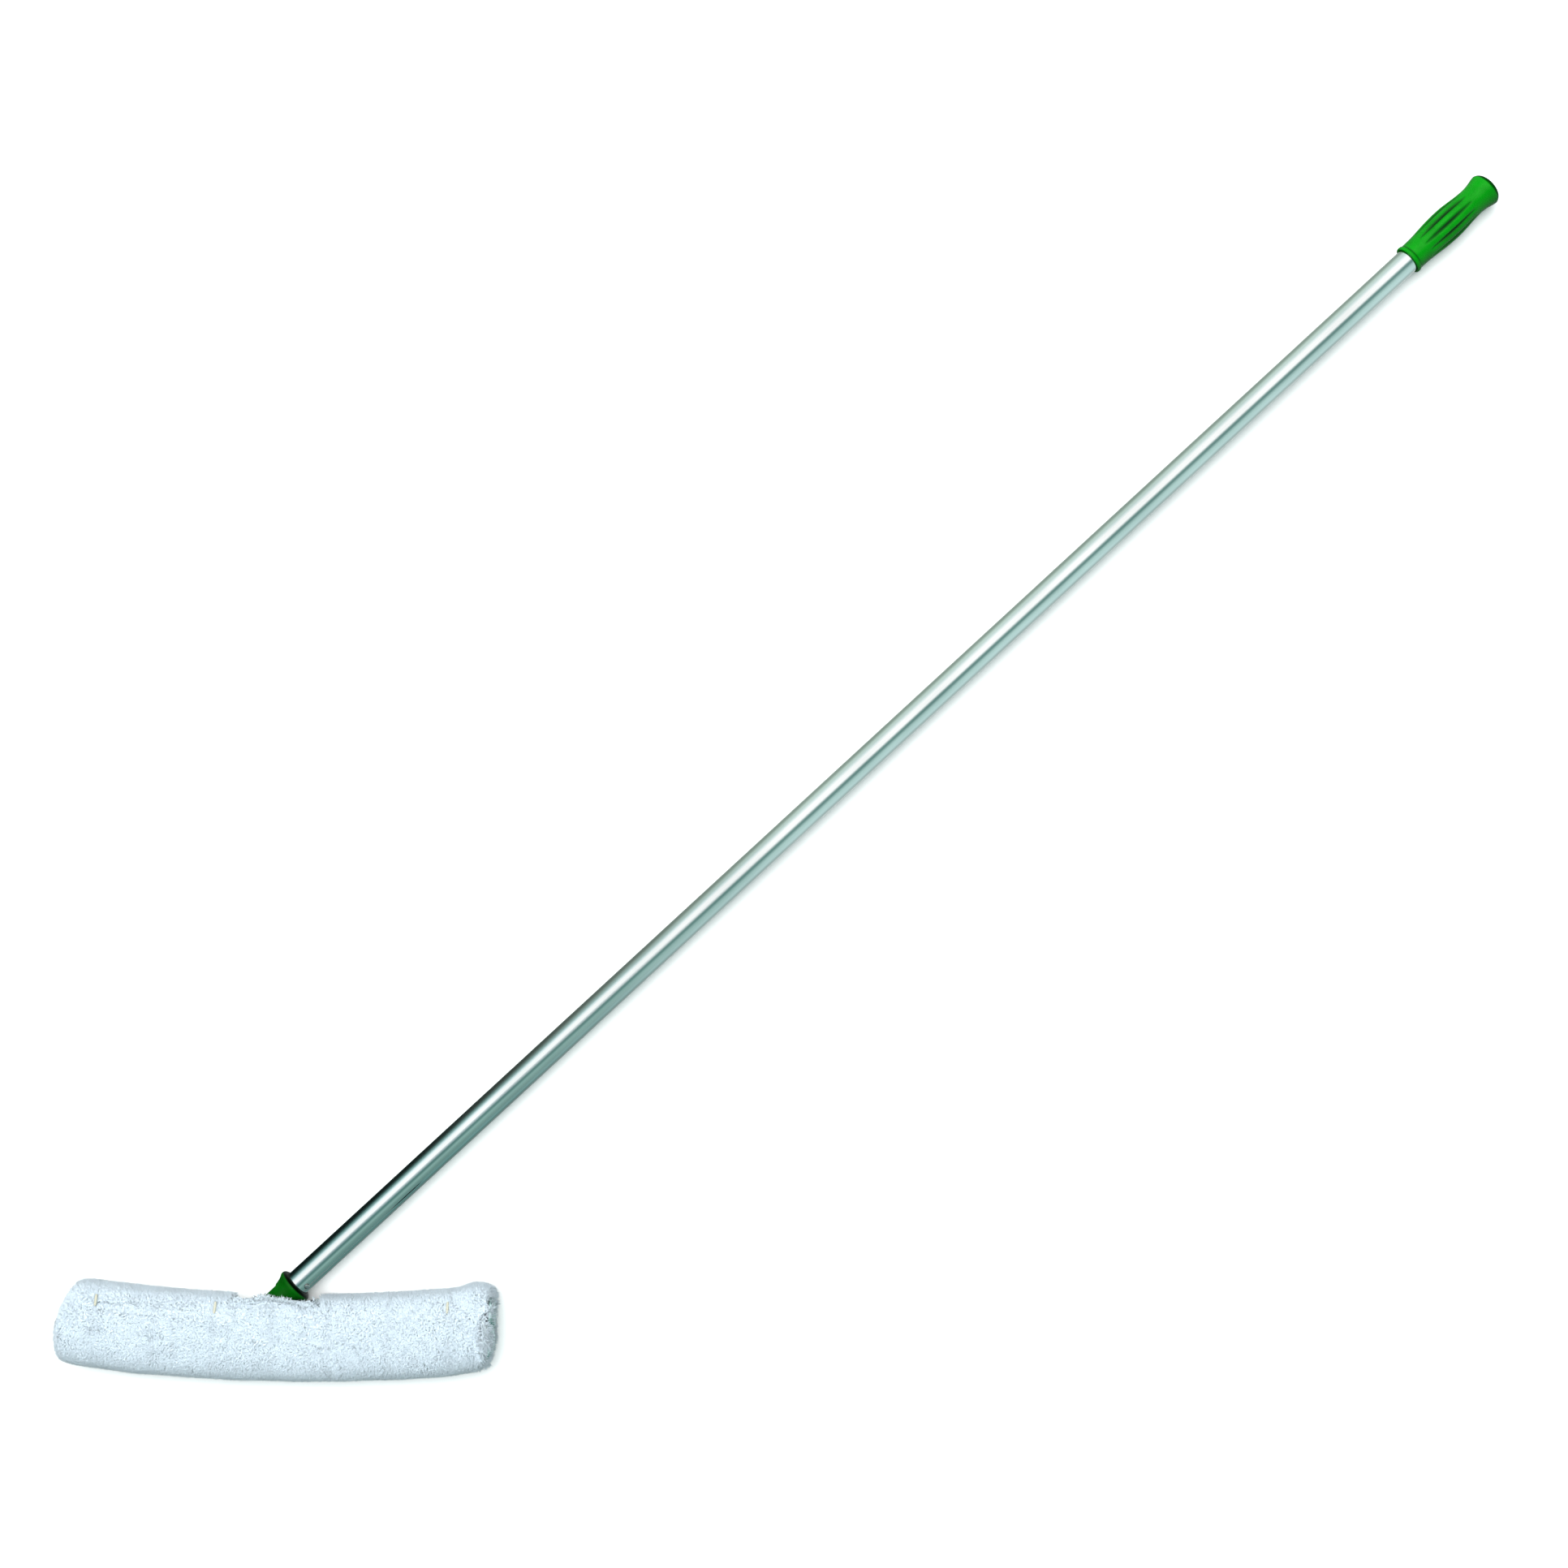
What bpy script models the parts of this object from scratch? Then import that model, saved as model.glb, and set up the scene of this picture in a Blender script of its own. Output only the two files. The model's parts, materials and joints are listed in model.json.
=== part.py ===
"""Swivel-head mop: a plush sleeve on a flat frame bar, a swivel hub, an aluminium pole and a fluted grip.

The tool lies flat on the floor. X runs along the head, Y towards the pole side, Z up.
The origin is on the floor under the middle of the head. All dimensions below are in millimetres.
"""

import math

import bmesh
import bpy
from mathutils import Matrix, Vector

for old in list(bpy.data.objects):
    bpy.data.objects.remove(old, do_unlink=True)

MM = 0.001

# Clearances
SEAT_GAP = 0.3          # between pieces that touch in use
BORE_GAP = 0.3          # round a shank or a spigot
SWING_GAP = 0.6         # round the swivel inside the sleeve

# Pole
TUBE_R = 11.0
TUBE_WALL = 1.0
TUBE_LENGTH = 1400.0
POLE_ANGLE = 44.0       # from the head's X axis, at rest
SWING_MIN_ANGLE = 40.0  # smallest angle between pole and head, on both sides
PIVOT_Y = 30.0          # pivot centre from the middle line of the head

# Socket fork
FORK_R = TUBE_R + 1.3
RIM_R = FORK_R + 3.5
PLANE_Z = RIM_R + 0.2   # height of the plane that holds head, hub and pole, so that the rim just clears the floor
RIM_PEAK = 19.3         # axial place of the rim's widest line
RIM_FACE = 25.0         # axial place of the rim's end
TUBE_SEAT = 22.0        # bottom of the recess that takes the tube's end
SPIGOT_R = TUBE_R - TUBE_WALL - 0.4
SPIGOT_LENGTH = 54.0
SPIGOT_BORE_R = 6.4
EAR_FACE = 9.0          # half height of the fork over its two flat faces

# Hub bracket
TONGUE_R = 11.0
TONGUE_HALF = 3.5
SADDLE_HALF_X = 34.0
JAW = 3.0
HUB_BOLT_X = 23.0
HUB_BOLT_R = 2.5

# Pivot fixings
PIVOT_R = 3.0
FRICTION_WASHER_R = 9.0
FRICTION_WASHER_T = 1.0
PIVOT_WASHER_R = 6.6
PIVOT_WASHER_T = 0.8

# Frame bar
SLEEVE_HALF_X = 188.5   # half the head, from the middle to the tips of the plush
END_DEPTH = 18.5        # plush beyond each end of the bar
BAR_LENGTH = 2 * (SLEEVE_HALF_X - END_DEPTH)
BAR_Y0 = -15.0
BAR_Y1 = 13.0
BAR_T = 9.0
BAR_WALL = 1.5
PLUG_NOSE = 5.0
PLUG_INSERT = 12.0

# Sleeve
SLEEVE_HALF_Y = 37.0
SLEEVE_TOP = 40.0
SLEEVE_MID_Z = 17.0
SLEEVE_LOW = 19.0       # half height below the middle before the floor flattens it
SLEEVE_BOW = 13.3       # how far the ends lean to the pole side
SLEEVE_SQUARE = 10      # the higher, the squarer the ends
OPEN_END_X = SLEEVE_HALF_X - 8.5  # the open end, closed by the flap
TACK_X = (-0.79, -0.256, 0.79)  # places of the tacks, as shares of the half length
TACK_Y = (32.6, 28.2, 32.6)
TACK_LENGTH = 9.0
TACK_WIDTH = 2.4
TAPE_T = 1.0
FLAP_T = 5.4

# Grip
GRIP_BORE = 86.0
GRIP_START = TUBE_SEAT + SEAT_GAP + TUBE_LENGTH + 0.7 - GRIP_BORE
FLUTES = 11
FLUTE_DEPTH = 1.3
FLUTE_FROM = 17.0
FLUTE_TO = 73.0

GREEN = (0.006, 0.262, 0.012, 1.0)
DARK_GREEN = (0.004, 0.125, 0.008, 1.0)
ALUMINIUM = (0.72, 0.75, 0.74, 1.0)
STEEL = (0.55, 0.56, 0.57, 1.0)
PLUSH = (0.78, 0.86, 0.88, 1.0)
NYLON = (0.80, 0.80, 0.76, 1.0)
BLACK = (0.02, 0.02, 0.02, 1.0)
BEIGE = (0.55, 0.45, 0.30, 1.0)

PLANE = Matrix.Translation(Vector((0, 0, PLANE_Z)) * MM)

# Everything that swings hangs on this empty, whose Z axis is the swivel axis and whose X axis is the pole.
swivel = bpy.data.objects.new("swivel_axis", None)
swivel.location = Vector((0, PIVOT_Y, PLANE_Z)) * MM
swivel.rotation_euler = (0, 0, math.radians(POLE_ANGLE))
bpy.context.scene.collection.objects.link(swivel)


def material(name, colour, roughness, metallic):
    made = bpy.data.materials.new(name)
    made.use_nodes = True
    shader = made.node_tree.nodes["Principled BSDF"]
    shader.inputs["Base Color"].default_value = colour
    shader.inputs["Roughness"].default_value = roughness
    shader.inputs["Metallic"].default_value = metallic
    return made


def piece(name, rings, look, loop=False, swings=False, smooth=True):
    """One closed body through rings of equal length; a loop joins the last ring to the first, as on a washer."""
    count = len(rings[0])
    bm = bmesh.new()
    rows = [[bm.verts.new(Vector(p) * MM) for p in ring] for ring in rings]
    pairs = list(zip(rows, rows[1:]))
    if loop:
        pairs.append((rows[-1], rows[0]))
    for low, high in pairs:
        for i in range(count):
            j = (i + 1) % count
            bm.faces.new((low[i], low[j], high[j], high[i]))
    if not loop:
        bm.faces.new(rows[0])
        bm.faces.new(rows[-1])
    bmesh.ops.recalc_face_normals(bm, faces=bm.faces)
    mesh = bpy.data.meshes.new(name)
    bm.to_mesh(mesh)
    bm.free()
    made = bpy.data.objects.new(name, mesh)
    bpy.context.scene.collection.objects.link(made)
    if look is not None:
        mesh.materials.append(material(name + "_look", *look))
    if smooth:
        mesh.shade_smooth()
        mesh.set_sharp_from_angle(angle=math.radians(32))
    if swings:
        made.parent = swivel
    else:
        made.matrix_world = PLANE
    return made


def combine(target, other, operation):
    """Cuts `other` from the target, or joins it on, and keeps `other` out of the render."""
    other.hide_render = True
    other.display_type = "WIRE"
    step = target.modifiers.new(other.name, "BOOLEAN")
    step.operation = operation
    step.solver = "EXACT"
    step.object = other


def turned(profile, segments, axis="X", ripple=None):
    """Rings round an axis from (place along the axis, radius) pairs."""
    rings = []
    for place, radius in profile:
        ring = []
        for i in range(segments):
            angle = 2 * math.pi * i / segments
            r = radius if ripple is None else ripple(place, radius, angle)
            u, v = r * math.cos(angle), r * math.sin(angle)
            ring.append((place, u, v) if axis == "X" else (u, v, place))
        rings.append(ring)
    return rings


def at(rings, x, y, z=0.0):
    return [[(p[0] + x, p[1] + y, p[2] + z) for p in ring] for ring in rings]


def hexagon(half_flats, z, count=24):
    ring = []
    for i in range(count):
        angle = 2 * math.pi * i / count
        off = (angle + math.pi / 6) % (math.pi / 3) - math.pi / 6
        r = half_flats / math.cos(off)
        ring.append((r * math.cos(angle), r * math.sin(angle), z))
    return ring


def circle(radius, z, count=24):
    return [
        (
            radius * math.cos(2 * math.pi * i / count),
            radius * math.sin(2 * math.pi * i / count),
            z,
        )
        for i in range(count)
    ]


def prism(outline, z0, z1, chamfer=0.0):
    """Rings of a convex outline from z0 to z1, with a small chamfer on both rims."""
    def inset(by):
        count = len(outline)
        ring = []
        for i in range(count):
            before = Vector(outline[i - 1])
            here = Vector(outline[i])
            after = Vector(outline[(i + 1) % count])
            first = (here - before).normalized()
            second = (after - here).normalized()
            lean = (second - first) if (second - first).length > 1e-6 else Vector((-first.y, first.x))
            lean = lean.normalized()
            ring.append(here + lean * by)
        return ring

    if chamfer == 0.0:
        return [[(p[0], p[1], z) for p in outline] for z in (z0, z1)]
    inner = inset(chamfer)
    return [
        [(p[0], p[1], z0) for p in inner],
        [(p[0], p[1], z0 + chamfer) for p in outline],
        [(p[0], p[1], z1 - chamfer) for p in outline],
        [(p[0], p[1], z1) for p in inner],
    ]


def box(name, x0, x1, y0, y1, z0, z1, swings=False):
    outline = [(x0, y0), (x1, y0), (x1, y1), (x0, y1)]
    return piece(name, prism(outline, z0, z1), None, swings=swings, smooth=False)


def rounded_box_outline(x0, x1, y0, y1, r, steps=4):
    outline = []
    corners = ((x1 - r, y0 + r, -90), (x1 - r, y1 - r, 0), (x0 + r, y1 - r, 90), (x0 + r, y0 + r, 180))
    for cx, cy, start in corners:
        for k in range(steps + 1):
            angle = math.radians(start + 90 * k / steps)
            outline.append((cx + r * math.cos(angle), cy + r * math.sin(angle)))
    return outline


# Pole tube: a round aluminium tube with square-cut ends and one hole for the rivet.
tube_from = TUBE_SEAT + SEAT_GAP
tube_to = tube_from + TUBE_LENGTH
inner_r = TUBE_R - TUBE_WALL
pole_tube = piece(
    "pole_tube",
    turned(
        [(tube_from, TUBE_R), (tube_to, TUBE_R), (tube_to, inner_r), (tube_from, inner_r)],
        48,
    ),
    (ALUMINIUM, 0.22, 1.0),
    loop=True,
    swings=True,
)

# Rivet: it holds the tube on the fork's spigot, a little round from the top.
RIVET_AXIAL = 31.0
RIVET_ROUND = 42.0
RIVET_R = 1.3
RIVET_HEAD_R = 2.4
RIVET_REACH = 5.6


def rivet_rings(profile, count=16):
    """Rings round the rivet's own axis, which points outwards from the pole's axis."""
    angle = math.radians(RIVET_ROUND)
    out = Vector((0, -math.sin(angle), math.cos(angle)))
    side = Vector((0, math.cos(angle), math.sin(angle)))
    along = Vector((1, 0, 0))
    rings = []
    for height, r in profile:
        ring = []
        for i in range(count):
            turn = 2 * math.pi * i / count
            p = out * height + (along * math.cos(turn) + side * math.sin(turn)) * r
            ring.append((p.x + RIVET_AXIAL, p.y, p.z))
        rings.append(ring)
    return rings


head_seat = TUBE_R + SEAT_GAP
piece(
    "tube_rivet",
    rivet_rings(
        [
            (RIVET_REACH + SEAT_GAP, RIVET_R * 0.8),
            (RIVET_REACH + 0.8, RIVET_R),
            (head_seat, RIVET_R),
            (head_seat, RIVET_HEAD_R),
            (head_seat + 0.35, RIVET_HEAD_R),
            (head_seat + 0.8, RIVET_HEAD_R * 0.8),
            (head_seat + 1.05, RIVET_HEAD_R * 0.4),
        ]
    ),
    (STEEL, 0.3, 1.0),
    swings=True,
)
tube_hole = piece(
    "cut_rivet_tube",
    rivet_rings([(TUBE_R - 4.0, RIVET_R + BORE_GAP), (TUBE_R + 3.0, RIVET_R + BORE_GAP)]),
    None,
    swings=True,
)
combine(pole_tube, tube_hole, "DIFFERENCE")
spigot_hole = piece(
    "cut_rivet_spigot",
    rivet_rings([(RIVET_REACH, RIVET_R + BORE_GAP), (SPIGOT_R + 1.2, RIVET_R + BORE_GAP)]),
    None,
    swings=True,
)

# Socket fork: two round ears on the hub's tongue, a flared rim round the tube's end, a spigot inside the tube.
fork_profile = [(-FORK_R * math.cos(math.radians(a)), FORK_R * math.sin(math.radians(a))) for a in range(8, 90, 9)]
fork_profile += [(0.0, FORK_R), (8.0, FORK_R), (11.5, FORK_R + 0.25), (14.5, FORK_R + 1.0), (17.0, FORK_R + 2.2)]
fork_profile += [
    (RIM_PEAK - 0.7, RIM_R - 0.15),
    (RIM_PEAK, RIM_R),
    (RIM_PEAK + 1.0, RIM_R - 0.25),
    (RIM_PEAK + 3.0, RIM_R - 1.5),
    (RIM_FACE - 0.6, TUBE_R + 2.0),
    (RIM_FACE, TUBE_R + 1.2),
    (RIM_FACE, TUBE_R + 0.6),
    (RIM_FACE - 0.8, TUBE_R + BORE_GAP),
    (TUBE_SEAT, TUBE_R + BORE_GAP),
    (TUBE_SEAT, SPIGOT_R),
    (TUBE_SEAT + SPIGOT_LENGTH - 2.0, SPIGOT_R),
    (TUBE_SEAT + SPIGOT_LENGTH, SPIGOT_R - 1.0),
    (TUBE_SEAT + SPIGOT_LENGTH, SPIGOT_BORE_R),
    (TUBE_SEAT + 20.0, SPIGOT_BORE_R),
]
socket_fork = piece("socket_fork", turned(fork_profile, 48), (DARK_GREEN, 0.35, 0.0), swings=True)
slot_half = TONGUE_HALF + SEAT_GAP + FRICTION_WASHER_T + SEAT_GAP
slot_floor = TONGUE_R + SEAT_GAP
combine(
    socket_fork,
    box("cut_fork_slot", -20, slot_floor, -20, 20, -slot_half, slot_half, swings=True),
    "DIFFERENCE",
)
for name, z0, z1 in (("cut_ear_top", EAR_FACE, 20.0), ("cut_ear_bottom", -20.0, -EAR_FACE)):
    face = piece(name, [circle(8.2, z0, 32), circle(8.2, z1, 32)], None, swings=True)
    combine(socket_fork, face, "DIFFERENCE")
combine(
    socket_fork,
    piece("cut_fork_pivot", [circle(PIVOT_R + BORE_GAP, -20), circle(PIVOT_R + BORE_GAP, 20)], None, swings=True),
    "DIFFERENCE",
)
combine(socket_fork, spigot_hole, "DIFFERENCE")


def washer(name, inner, outer, z0, z1, look, swings, x=0.0, y=0.0, count=32):
    """A flat ring with a slight chamfer on its outer rim."""
    soft = min(0.2, (z1 - z0) / 4)
    rings = [
        circle(inner, z0, count),
        circle(outer - soft, z0, count),
        circle(outer, z0 + soft, count),
        circle(outer, z1 - soft, count),
        circle(outer - soft, z1, count),
        circle(inner, z1, count),
    ]
    return piece(name, at(rings, x, y), look, loop=True, swings=swings)


def nut(name, bore, half_flats, z0, z1, look, swings, x=0.0, y=0.0):
    """A hexagon nut with chamfered corners."""
    soft = 0.5
    rings = [
        circle(bore, z0),
        circle(half_flats * 0.97, z0),
        hexagon(half_flats, z0 + soft),
        hexagon(half_flats, z1 - soft),
        circle(half_flats * 0.97, z1),
        circle(bore, z1),
    ]
    return piece(name, at(rings, x, y), look, loop=True, swings=swings)


def bolt(name, radius, half_flats, tip, seat, head, look, swings, x=0.0, y=0.0):
    """A hexagon-head bolt standing along Z, head up."""
    rings = [
        circle(radius * 0.8, tip),
        circle(radius, tip + 0.6),
        circle(radius, seat),
        circle(half_flats * 0.97, seat),
        hexagon(half_flats, seat + 0.5),
        hexagon(half_flats, seat + head - 0.6),
        circle(half_flats * 0.94, seat + head),
    ]
    return piece(name, at(rings, x, y), look, swings=swings)


# Pivot bolt, nut and washers: the bolt squeezes the two ears on the tongue, and the nylon washers give the drag.
zinc = (STEEL, 0.35, 1.0)
white_nylon = (NYLON, 0.45, 0.0)
friction_from = TONGUE_HALF + SEAT_GAP
friction_to = friction_from + FRICTION_WASHER_T
washer_from = EAR_FACE + SEAT_GAP
washer_to = washer_from + PIVOT_WASHER_T
pivot_bore = PIVOT_R + BORE_GAP
washer("friction_washer_top", pivot_bore, FRICTION_WASHER_R, friction_from, friction_to, white_nylon, True)
washer("friction_washer_bottom", pivot_bore, FRICTION_WASHER_R, -friction_to, -friction_from, white_nylon, True)
washer("pivot_washer_top", pivot_bore, PIVOT_WASHER_R, washer_from, washer_to, zinc, True)
washer("pivot_washer_bottom", pivot_bore, PIVOT_WASHER_R, -washer_to, -washer_from, zinc, True)
head_from = washer_to + SEAT_GAP
nut_to = -(washer_to + SEAT_GAP)
nut_from = nut_to - 3.4
bolt("pivot_bolt", PIVOT_R, 5.0, nut_from - 0.2, head_from, 3.0, zinc, True)
nut("pivot_nut", pivot_bore, 5.0, nut_from, nut_to, zinc, True)

# Hub bracket: a saddle round the frame bar with a bell-shaped tongue between the fork's ears. The tongue's
# straight flanks are the stops: the floor of the fork's slot comes to lie along them at either end of the swing.
jaw_half = BAR_T / 2 + SEAT_GAP + JAW
saddle_back = PIVOT_Y - FORK_R - SWING_GAP
hub_bracket = piece(
    "hub_bracket",
    prism(
        rounded_box_outline(-SADDLE_HALF_X, SADDLE_HALF_X, BAR_Y0 + 4.0, saddle_back, 3.0),
        -jaw_half,
        jaw_half,
        0.8,
    ),
    (GREEN, 0.4, 0.0),
)
bell = []
for k in range(13):
    angle = math.radians(SWING_MIN_ANGLE + (180 - 2 * SWING_MIN_ANGLE) * k / 12)
    bell.append((TONGUE_R * math.cos(angle), PIVOT_Y + TONGUE_R * math.sin(angle)))
bell_foot = BAR_Y1 + 1.2
drop = PIVOT_Y + TONGUE_R * math.sin(math.radians(SWING_MIN_ANGLE)) - bell_foot
spread = TONGUE_R * math.cos(math.radians(SWING_MIN_ANGLE)) + drop * math.tan(math.radians(SWING_MIN_ANGLE))
bell.append((-spread, bell_foot))
bell.append((spread, bell_foot))
tongue = piece("join_tongue", prism(bell, -TONGUE_HALF, TONGUE_HALF, 0.6), None)
combine(hub_bracket, tongue, "UNION")
channel = box(
    "cut_channel",
    -60,
    60,
    BAR_Y0 - 30,
    BAR_Y1 + SEAT_GAP,
    -BAR_T / 2 - SEAT_GAP,
    BAR_T / 2 + SEAT_GAP,
)
combine(hub_bracket, channel, "DIFFERENCE")
pivot_hole = piece("cut_hub_pivot", at([circle(pivot_bore, -20), circle(pivot_bore, 20)], 0, PIVOT_Y), None)
combine(hub_bracket, pivot_hole, "DIFFERENCE")

# Frame bar: a hollow flat-oval aluminium bar.
bar_mid_y = (BAR_Y0 + BAR_Y1) / 2


def oval(half_y, half_z, x, steps=7):
    """A flat-oval ring across X, with round long edges."""
    ring = []
    reach = half_y - half_z
    for centre, start in ((reach, -90), (-reach, 90)):
        for k in range(steps + 1):
            angle = math.radians(start + 180 * k / steps)
            ring.append((x, bar_mid_y + centre + half_z * math.cos(angle), half_z * math.sin(angle)))
    return ring


bar_half_y = (BAR_Y1 - BAR_Y0) / 2
bar_half_z = BAR_T / 2
bar_end = BAR_LENGTH / 2
frame_bar = piece(
    "frame_bar",
    [
        oval(bar_half_y, bar_half_z, -bar_end),
        oval(bar_half_y, bar_half_z, bar_end),
        oval(bar_half_y - BAR_WALL, bar_half_z - BAR_WALL, bar_end),
        oval(bar_half_y - BAR_WALL, bar_half_z - BAR_WALL, -bar_end),
    ],
    (ALUMINIUM, 0.35, 1.0),
    loop=True,
)

# Hub bolts and nuts: they clamp the saddle on the bar.
hub_bore = HUB_BOLT_R + BORE_GAP
for side, x in (("left", -HUB_BOLT_X), ("right", HUB_BOLT_X)):
    hole = piece("cut_hub_bolt_" + side, at([circle(hub_bore, -20), circle(hub_bore, 20)], x, bar_mid_y), None)
    combine(hub_bracket, hole, "DIFFERENCE")
    combine(frame_bar, hole, "DIFFERENCE")
    seat = jaw_half + SEAT_GAP
    bolt("hub_bolt_" + side, HUB_BOLT_R, 4.0, -seat - 3.2, seat, 2.6, zinc, False, x, bar_mid_y)
    nut("hub_nut_" + side, hub_bore, 4.0, -seat - 3.0, -seat, zinc, False, x, bar_mid_y)

# End plugs: rounded plastic noses pushed into the bar, so that its ends don't wear the sleeve.
for side, sign in (("left", -1), ("right", 1)):
    insert_y = bar_half_y - BAR_WALL - BORE_GAP
    insert_z = bar_half_z - BAR_WALL - BORE_GAP
    collar = bar_end + SEAT_GAP
    tip = bar_end + PLUG_NOSE
    rings = [
        oval(insert_y - 0.6, insert_z - 0.6, sign * (bar_end - PLUG_INSERT)),
        oval(insert_y, insert_z, sign * (bar_end - PLUG_INSERT + 1.0)),
        oval(insert_y, insert_z, sign * collar),
        oval(bar_half_y, bar_half_z, sign * collar),
        oval(bar_half_y, bar_half_z, sign * (tip - 3.0)),
        oval(bar_half_y - 0.9, bar_half_z - 0.7, sign * (tip - 1.1)),
        oval(bar_half_y - 2.4, bar_half_z - 2.0, sign * tip),
    ]
    piece("end_plug_" + side, rings, (BLACK, 0.5, 0.0))


# Sleeve: a thick plush tube bowed towards the pole side at both ends, flat where it rests on the floor.
def end_scale(x):
    return (1 - abs(x / SLEEVE_HALF_X) ** SLEEVE_SQUARE) ** (1 / SLEEVE_SQUARE)


def middle_y(x):
    return SLEEVE_BOW * (x / SLEEVE_HALF_X) ** 2


def section(x, shrink=1.0, count=36):
    """The sleeve's outline across X, in heights from the plane of head and pole."""
    scale = end_scale(x) * shrink
    ring = []
    for i in range(count):
        angle = 2 * math.pi * i / count
        c, s = math.cos(angle), math.sin(angle)
        power = 2 / 2.5 if s >= 0 else 2 / 3.0
        rise = (SLEEVE_TOP - SLEEVE_MID_Z) if s >= 0 else SLEEVE_LOW
        y = middle_y(x) + SLEEVE_HALF_Y * scale * math.copysign(abs(c) ** power, c)
        z = SLEEVE_MID_Z + rise * scale * math.copysign(abs(s) ** power, s)
        ring.append((x, y, max(z, 0.0) - PLANE_Z))
    return ring


def sleeve_top_at(x, y):
    """Height of the sleeve's upper surface over the plane of head and pole."""
    scale = end_scale(x)
    across = min(abs((y - middle_y(x)) / (SLEEVE_HALF_Y * scale)), 0.999)
    rise = (SLEEVE_TOP - SLEEVE_MID_Z) * scale
    return SLEEVE_MID_Z + rise * (1 - across**2.5) ** (1 / 2.5) - PLANE_Z


stations = [-SLEEVE_HALF_X + inwards for inwards in (0.1, 0.7, 2.0, 4.5, 8.5, 15.0, 24.0)]
straight = SLEEVE_HALF_X - 37.0
stations += [straight * (k / 10 - 1) for k in range(21)]
stations += [OPEN_END_X - inwards for inwards in (18.0, 10.0, 4.0, 0.0)]
sleeve = piece("sleeve", [section(x) for x in stations], (PLUSH, 0.95, 0.0))
bar_room = piece(
    "cut_bar_room",
    [
        oval(bar_half_y + SEAT_GAP, bar_half_z + SEAT_GAP, -bar_end - PLUG_NOSE - SEAT_GAP),
        oval(bar_half_y + SEAT_GAP, bar_half_z + SEAT_GAP, SLEEVE_HALF_X + 10),
    ],
    None,
)
combine(sleeve, bar_room, "DIFFERENCE")
hub_low = jaw_half + SEAT_GAP + 3.2 + SEAT_GAP
hub_room = box(
    "cut_hub_room",
    -SADDLE_HALF_X - SEAT_GAP,
    SADDLE_HALF_X + SEAT_GAP,
    BAR_Y0 + 4.0 - SEAT_GAP,
    PIVOT_Y,
    -hub_low,
    hub_low,
)
combine(sleeve, hub_room, "DIFFERENCE")
# The mouth: room for the fork from one end of its swing to the other, with plush left above and below it.
least = math.radians(SWING_MIN_ANGLE)
wide = FORK_R + SWING_GAP
low_x, low_y = wide * math.sin(least), -wide * math.cos(least)
edge_y = RIM_PEAK * math.sin(least) - RIM_R * math.cos(least) - 1.7 * SWING_GAP
run = (edge_y - low_y) / math.sin(least)
edge_x = low_x + run * math.cos(least)
half_mouth = RIM_FACE * math.cos(least) + RIM_R * math.sin(least) + 1.5
mouth = [
    (-low_x, low_y - 4.0),
    (low_x, low_y - 4.0),
    (edge_x + 1.0, edge_y),
    (half_mouth, edge_y + 0.1),
    (half_mouth, 40),
    (-half_mouth, 40),
    (-half_mouth, edge_y + 0.1),
    (-edge_x - 1.0, edge_y),
]
mouth = [(x, y + PIVOT_Y) for x, y in mouth]
combine(sleeve, piece("cut_mouth", prism(mouth, -wide, wide), None, smooth=False), "DIFFERENCE")
rim_room = box(
    "cut_rim_room",
    -half_mouth,
    half_mouth,
    PIVOT_Y + edge_y,
    PIVOT_Y + 60,
    -RIM_R - 20,
    RIM_R + 20,
)
combine(sleeve, rim_room, "DIFFERENCE")
fixing_half = -nut_from + 0.2 + SWING_GAP
fixings = piece(
    "cut_fixing_room",
    at([circle(wide, -fixing_half, 32), circle(wide, fixing_half, 32)], 0, PIVOT_Y),
    None,
)
combine(sleeve, fixings, "DIFFERENCE")

# End closure: a loop tape on the sleeve's open end, a hook tape on the flap, and the plush flap outside.
tape_y = middle_y(OPEN_END_X) - 6.0
tape_z = 2.0


def tape(name, x0, half_y, half_z, look):
    outline = rounded_box_outline(tape_y - half_y, tape_y + half_y, tape_z - half_z, tape_z + half_z, 2.0)
    rings = [[(x, p[0], p[1]) for p in outline] for x in (x0, x0 + TAPE_T)]
    return piece(name, rings, look)


loop_from = OPEN_END_X + SEAT_GAP
hook_from = loop_from + TAPE_T + SEAT_GAP
flap_from = hook_from + TAPE_T + SEAT_GAP
tape("loop_tape", loop_from, 21.0, 10.0, (NYLON, 0.9, 0.0))
tape("hook_tape", hook_from, 20.0, 9.5, (NYLON, 0.7, 0.0))
flap = []
for k, bulge in enumerate((0.985, 1.0, 0.97, 0.90, 0.76, 0.5)):
    x = flap_from + FLAP_T * (0.0, 0.12, 0.45, 0.75, 0.93, 1.0)[k]
    ring = section(flap_from, bulge)
    flap.append([(x, p[1], p[2]) for p in ring])
piece("end_flap", flap, (PLUSH, 0.95, 0.0))

# Bar tacks: short dense bars of thread that lock the seam on the sleeve's upper side.
for name, share, y in zip(("tack_left", "tack_mid", "tack_right"), TACK_X, TACK_Y):
    x = share * SLEEVE_HALF_X
    rings = []
    for k in range(7):
        along = -1 + 2 * k / 6
        py = y + TACK_LENGTH / 2 * along
        half = TACK_WIDTH / 2 * math.sqrt(max(1 - 0.75 * along**2, 0.05))
        thick = 0.5 + 0.7 * (1 - along**2)
        low = []
        high = []
        for t in (-1, -0.33, 0.33, 1):
            px = x + half * t
            seat = sleeve_top_at(px, py) + SEAT_GAP
            low.append((px, py, seat))
            high.append((px, py, seat + thick * (1 - 0.5 * t * t)))
        rings.append(low + high[::-1])
    piece(name, rings, (BEIGE, 0.85, 0.0))


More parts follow.
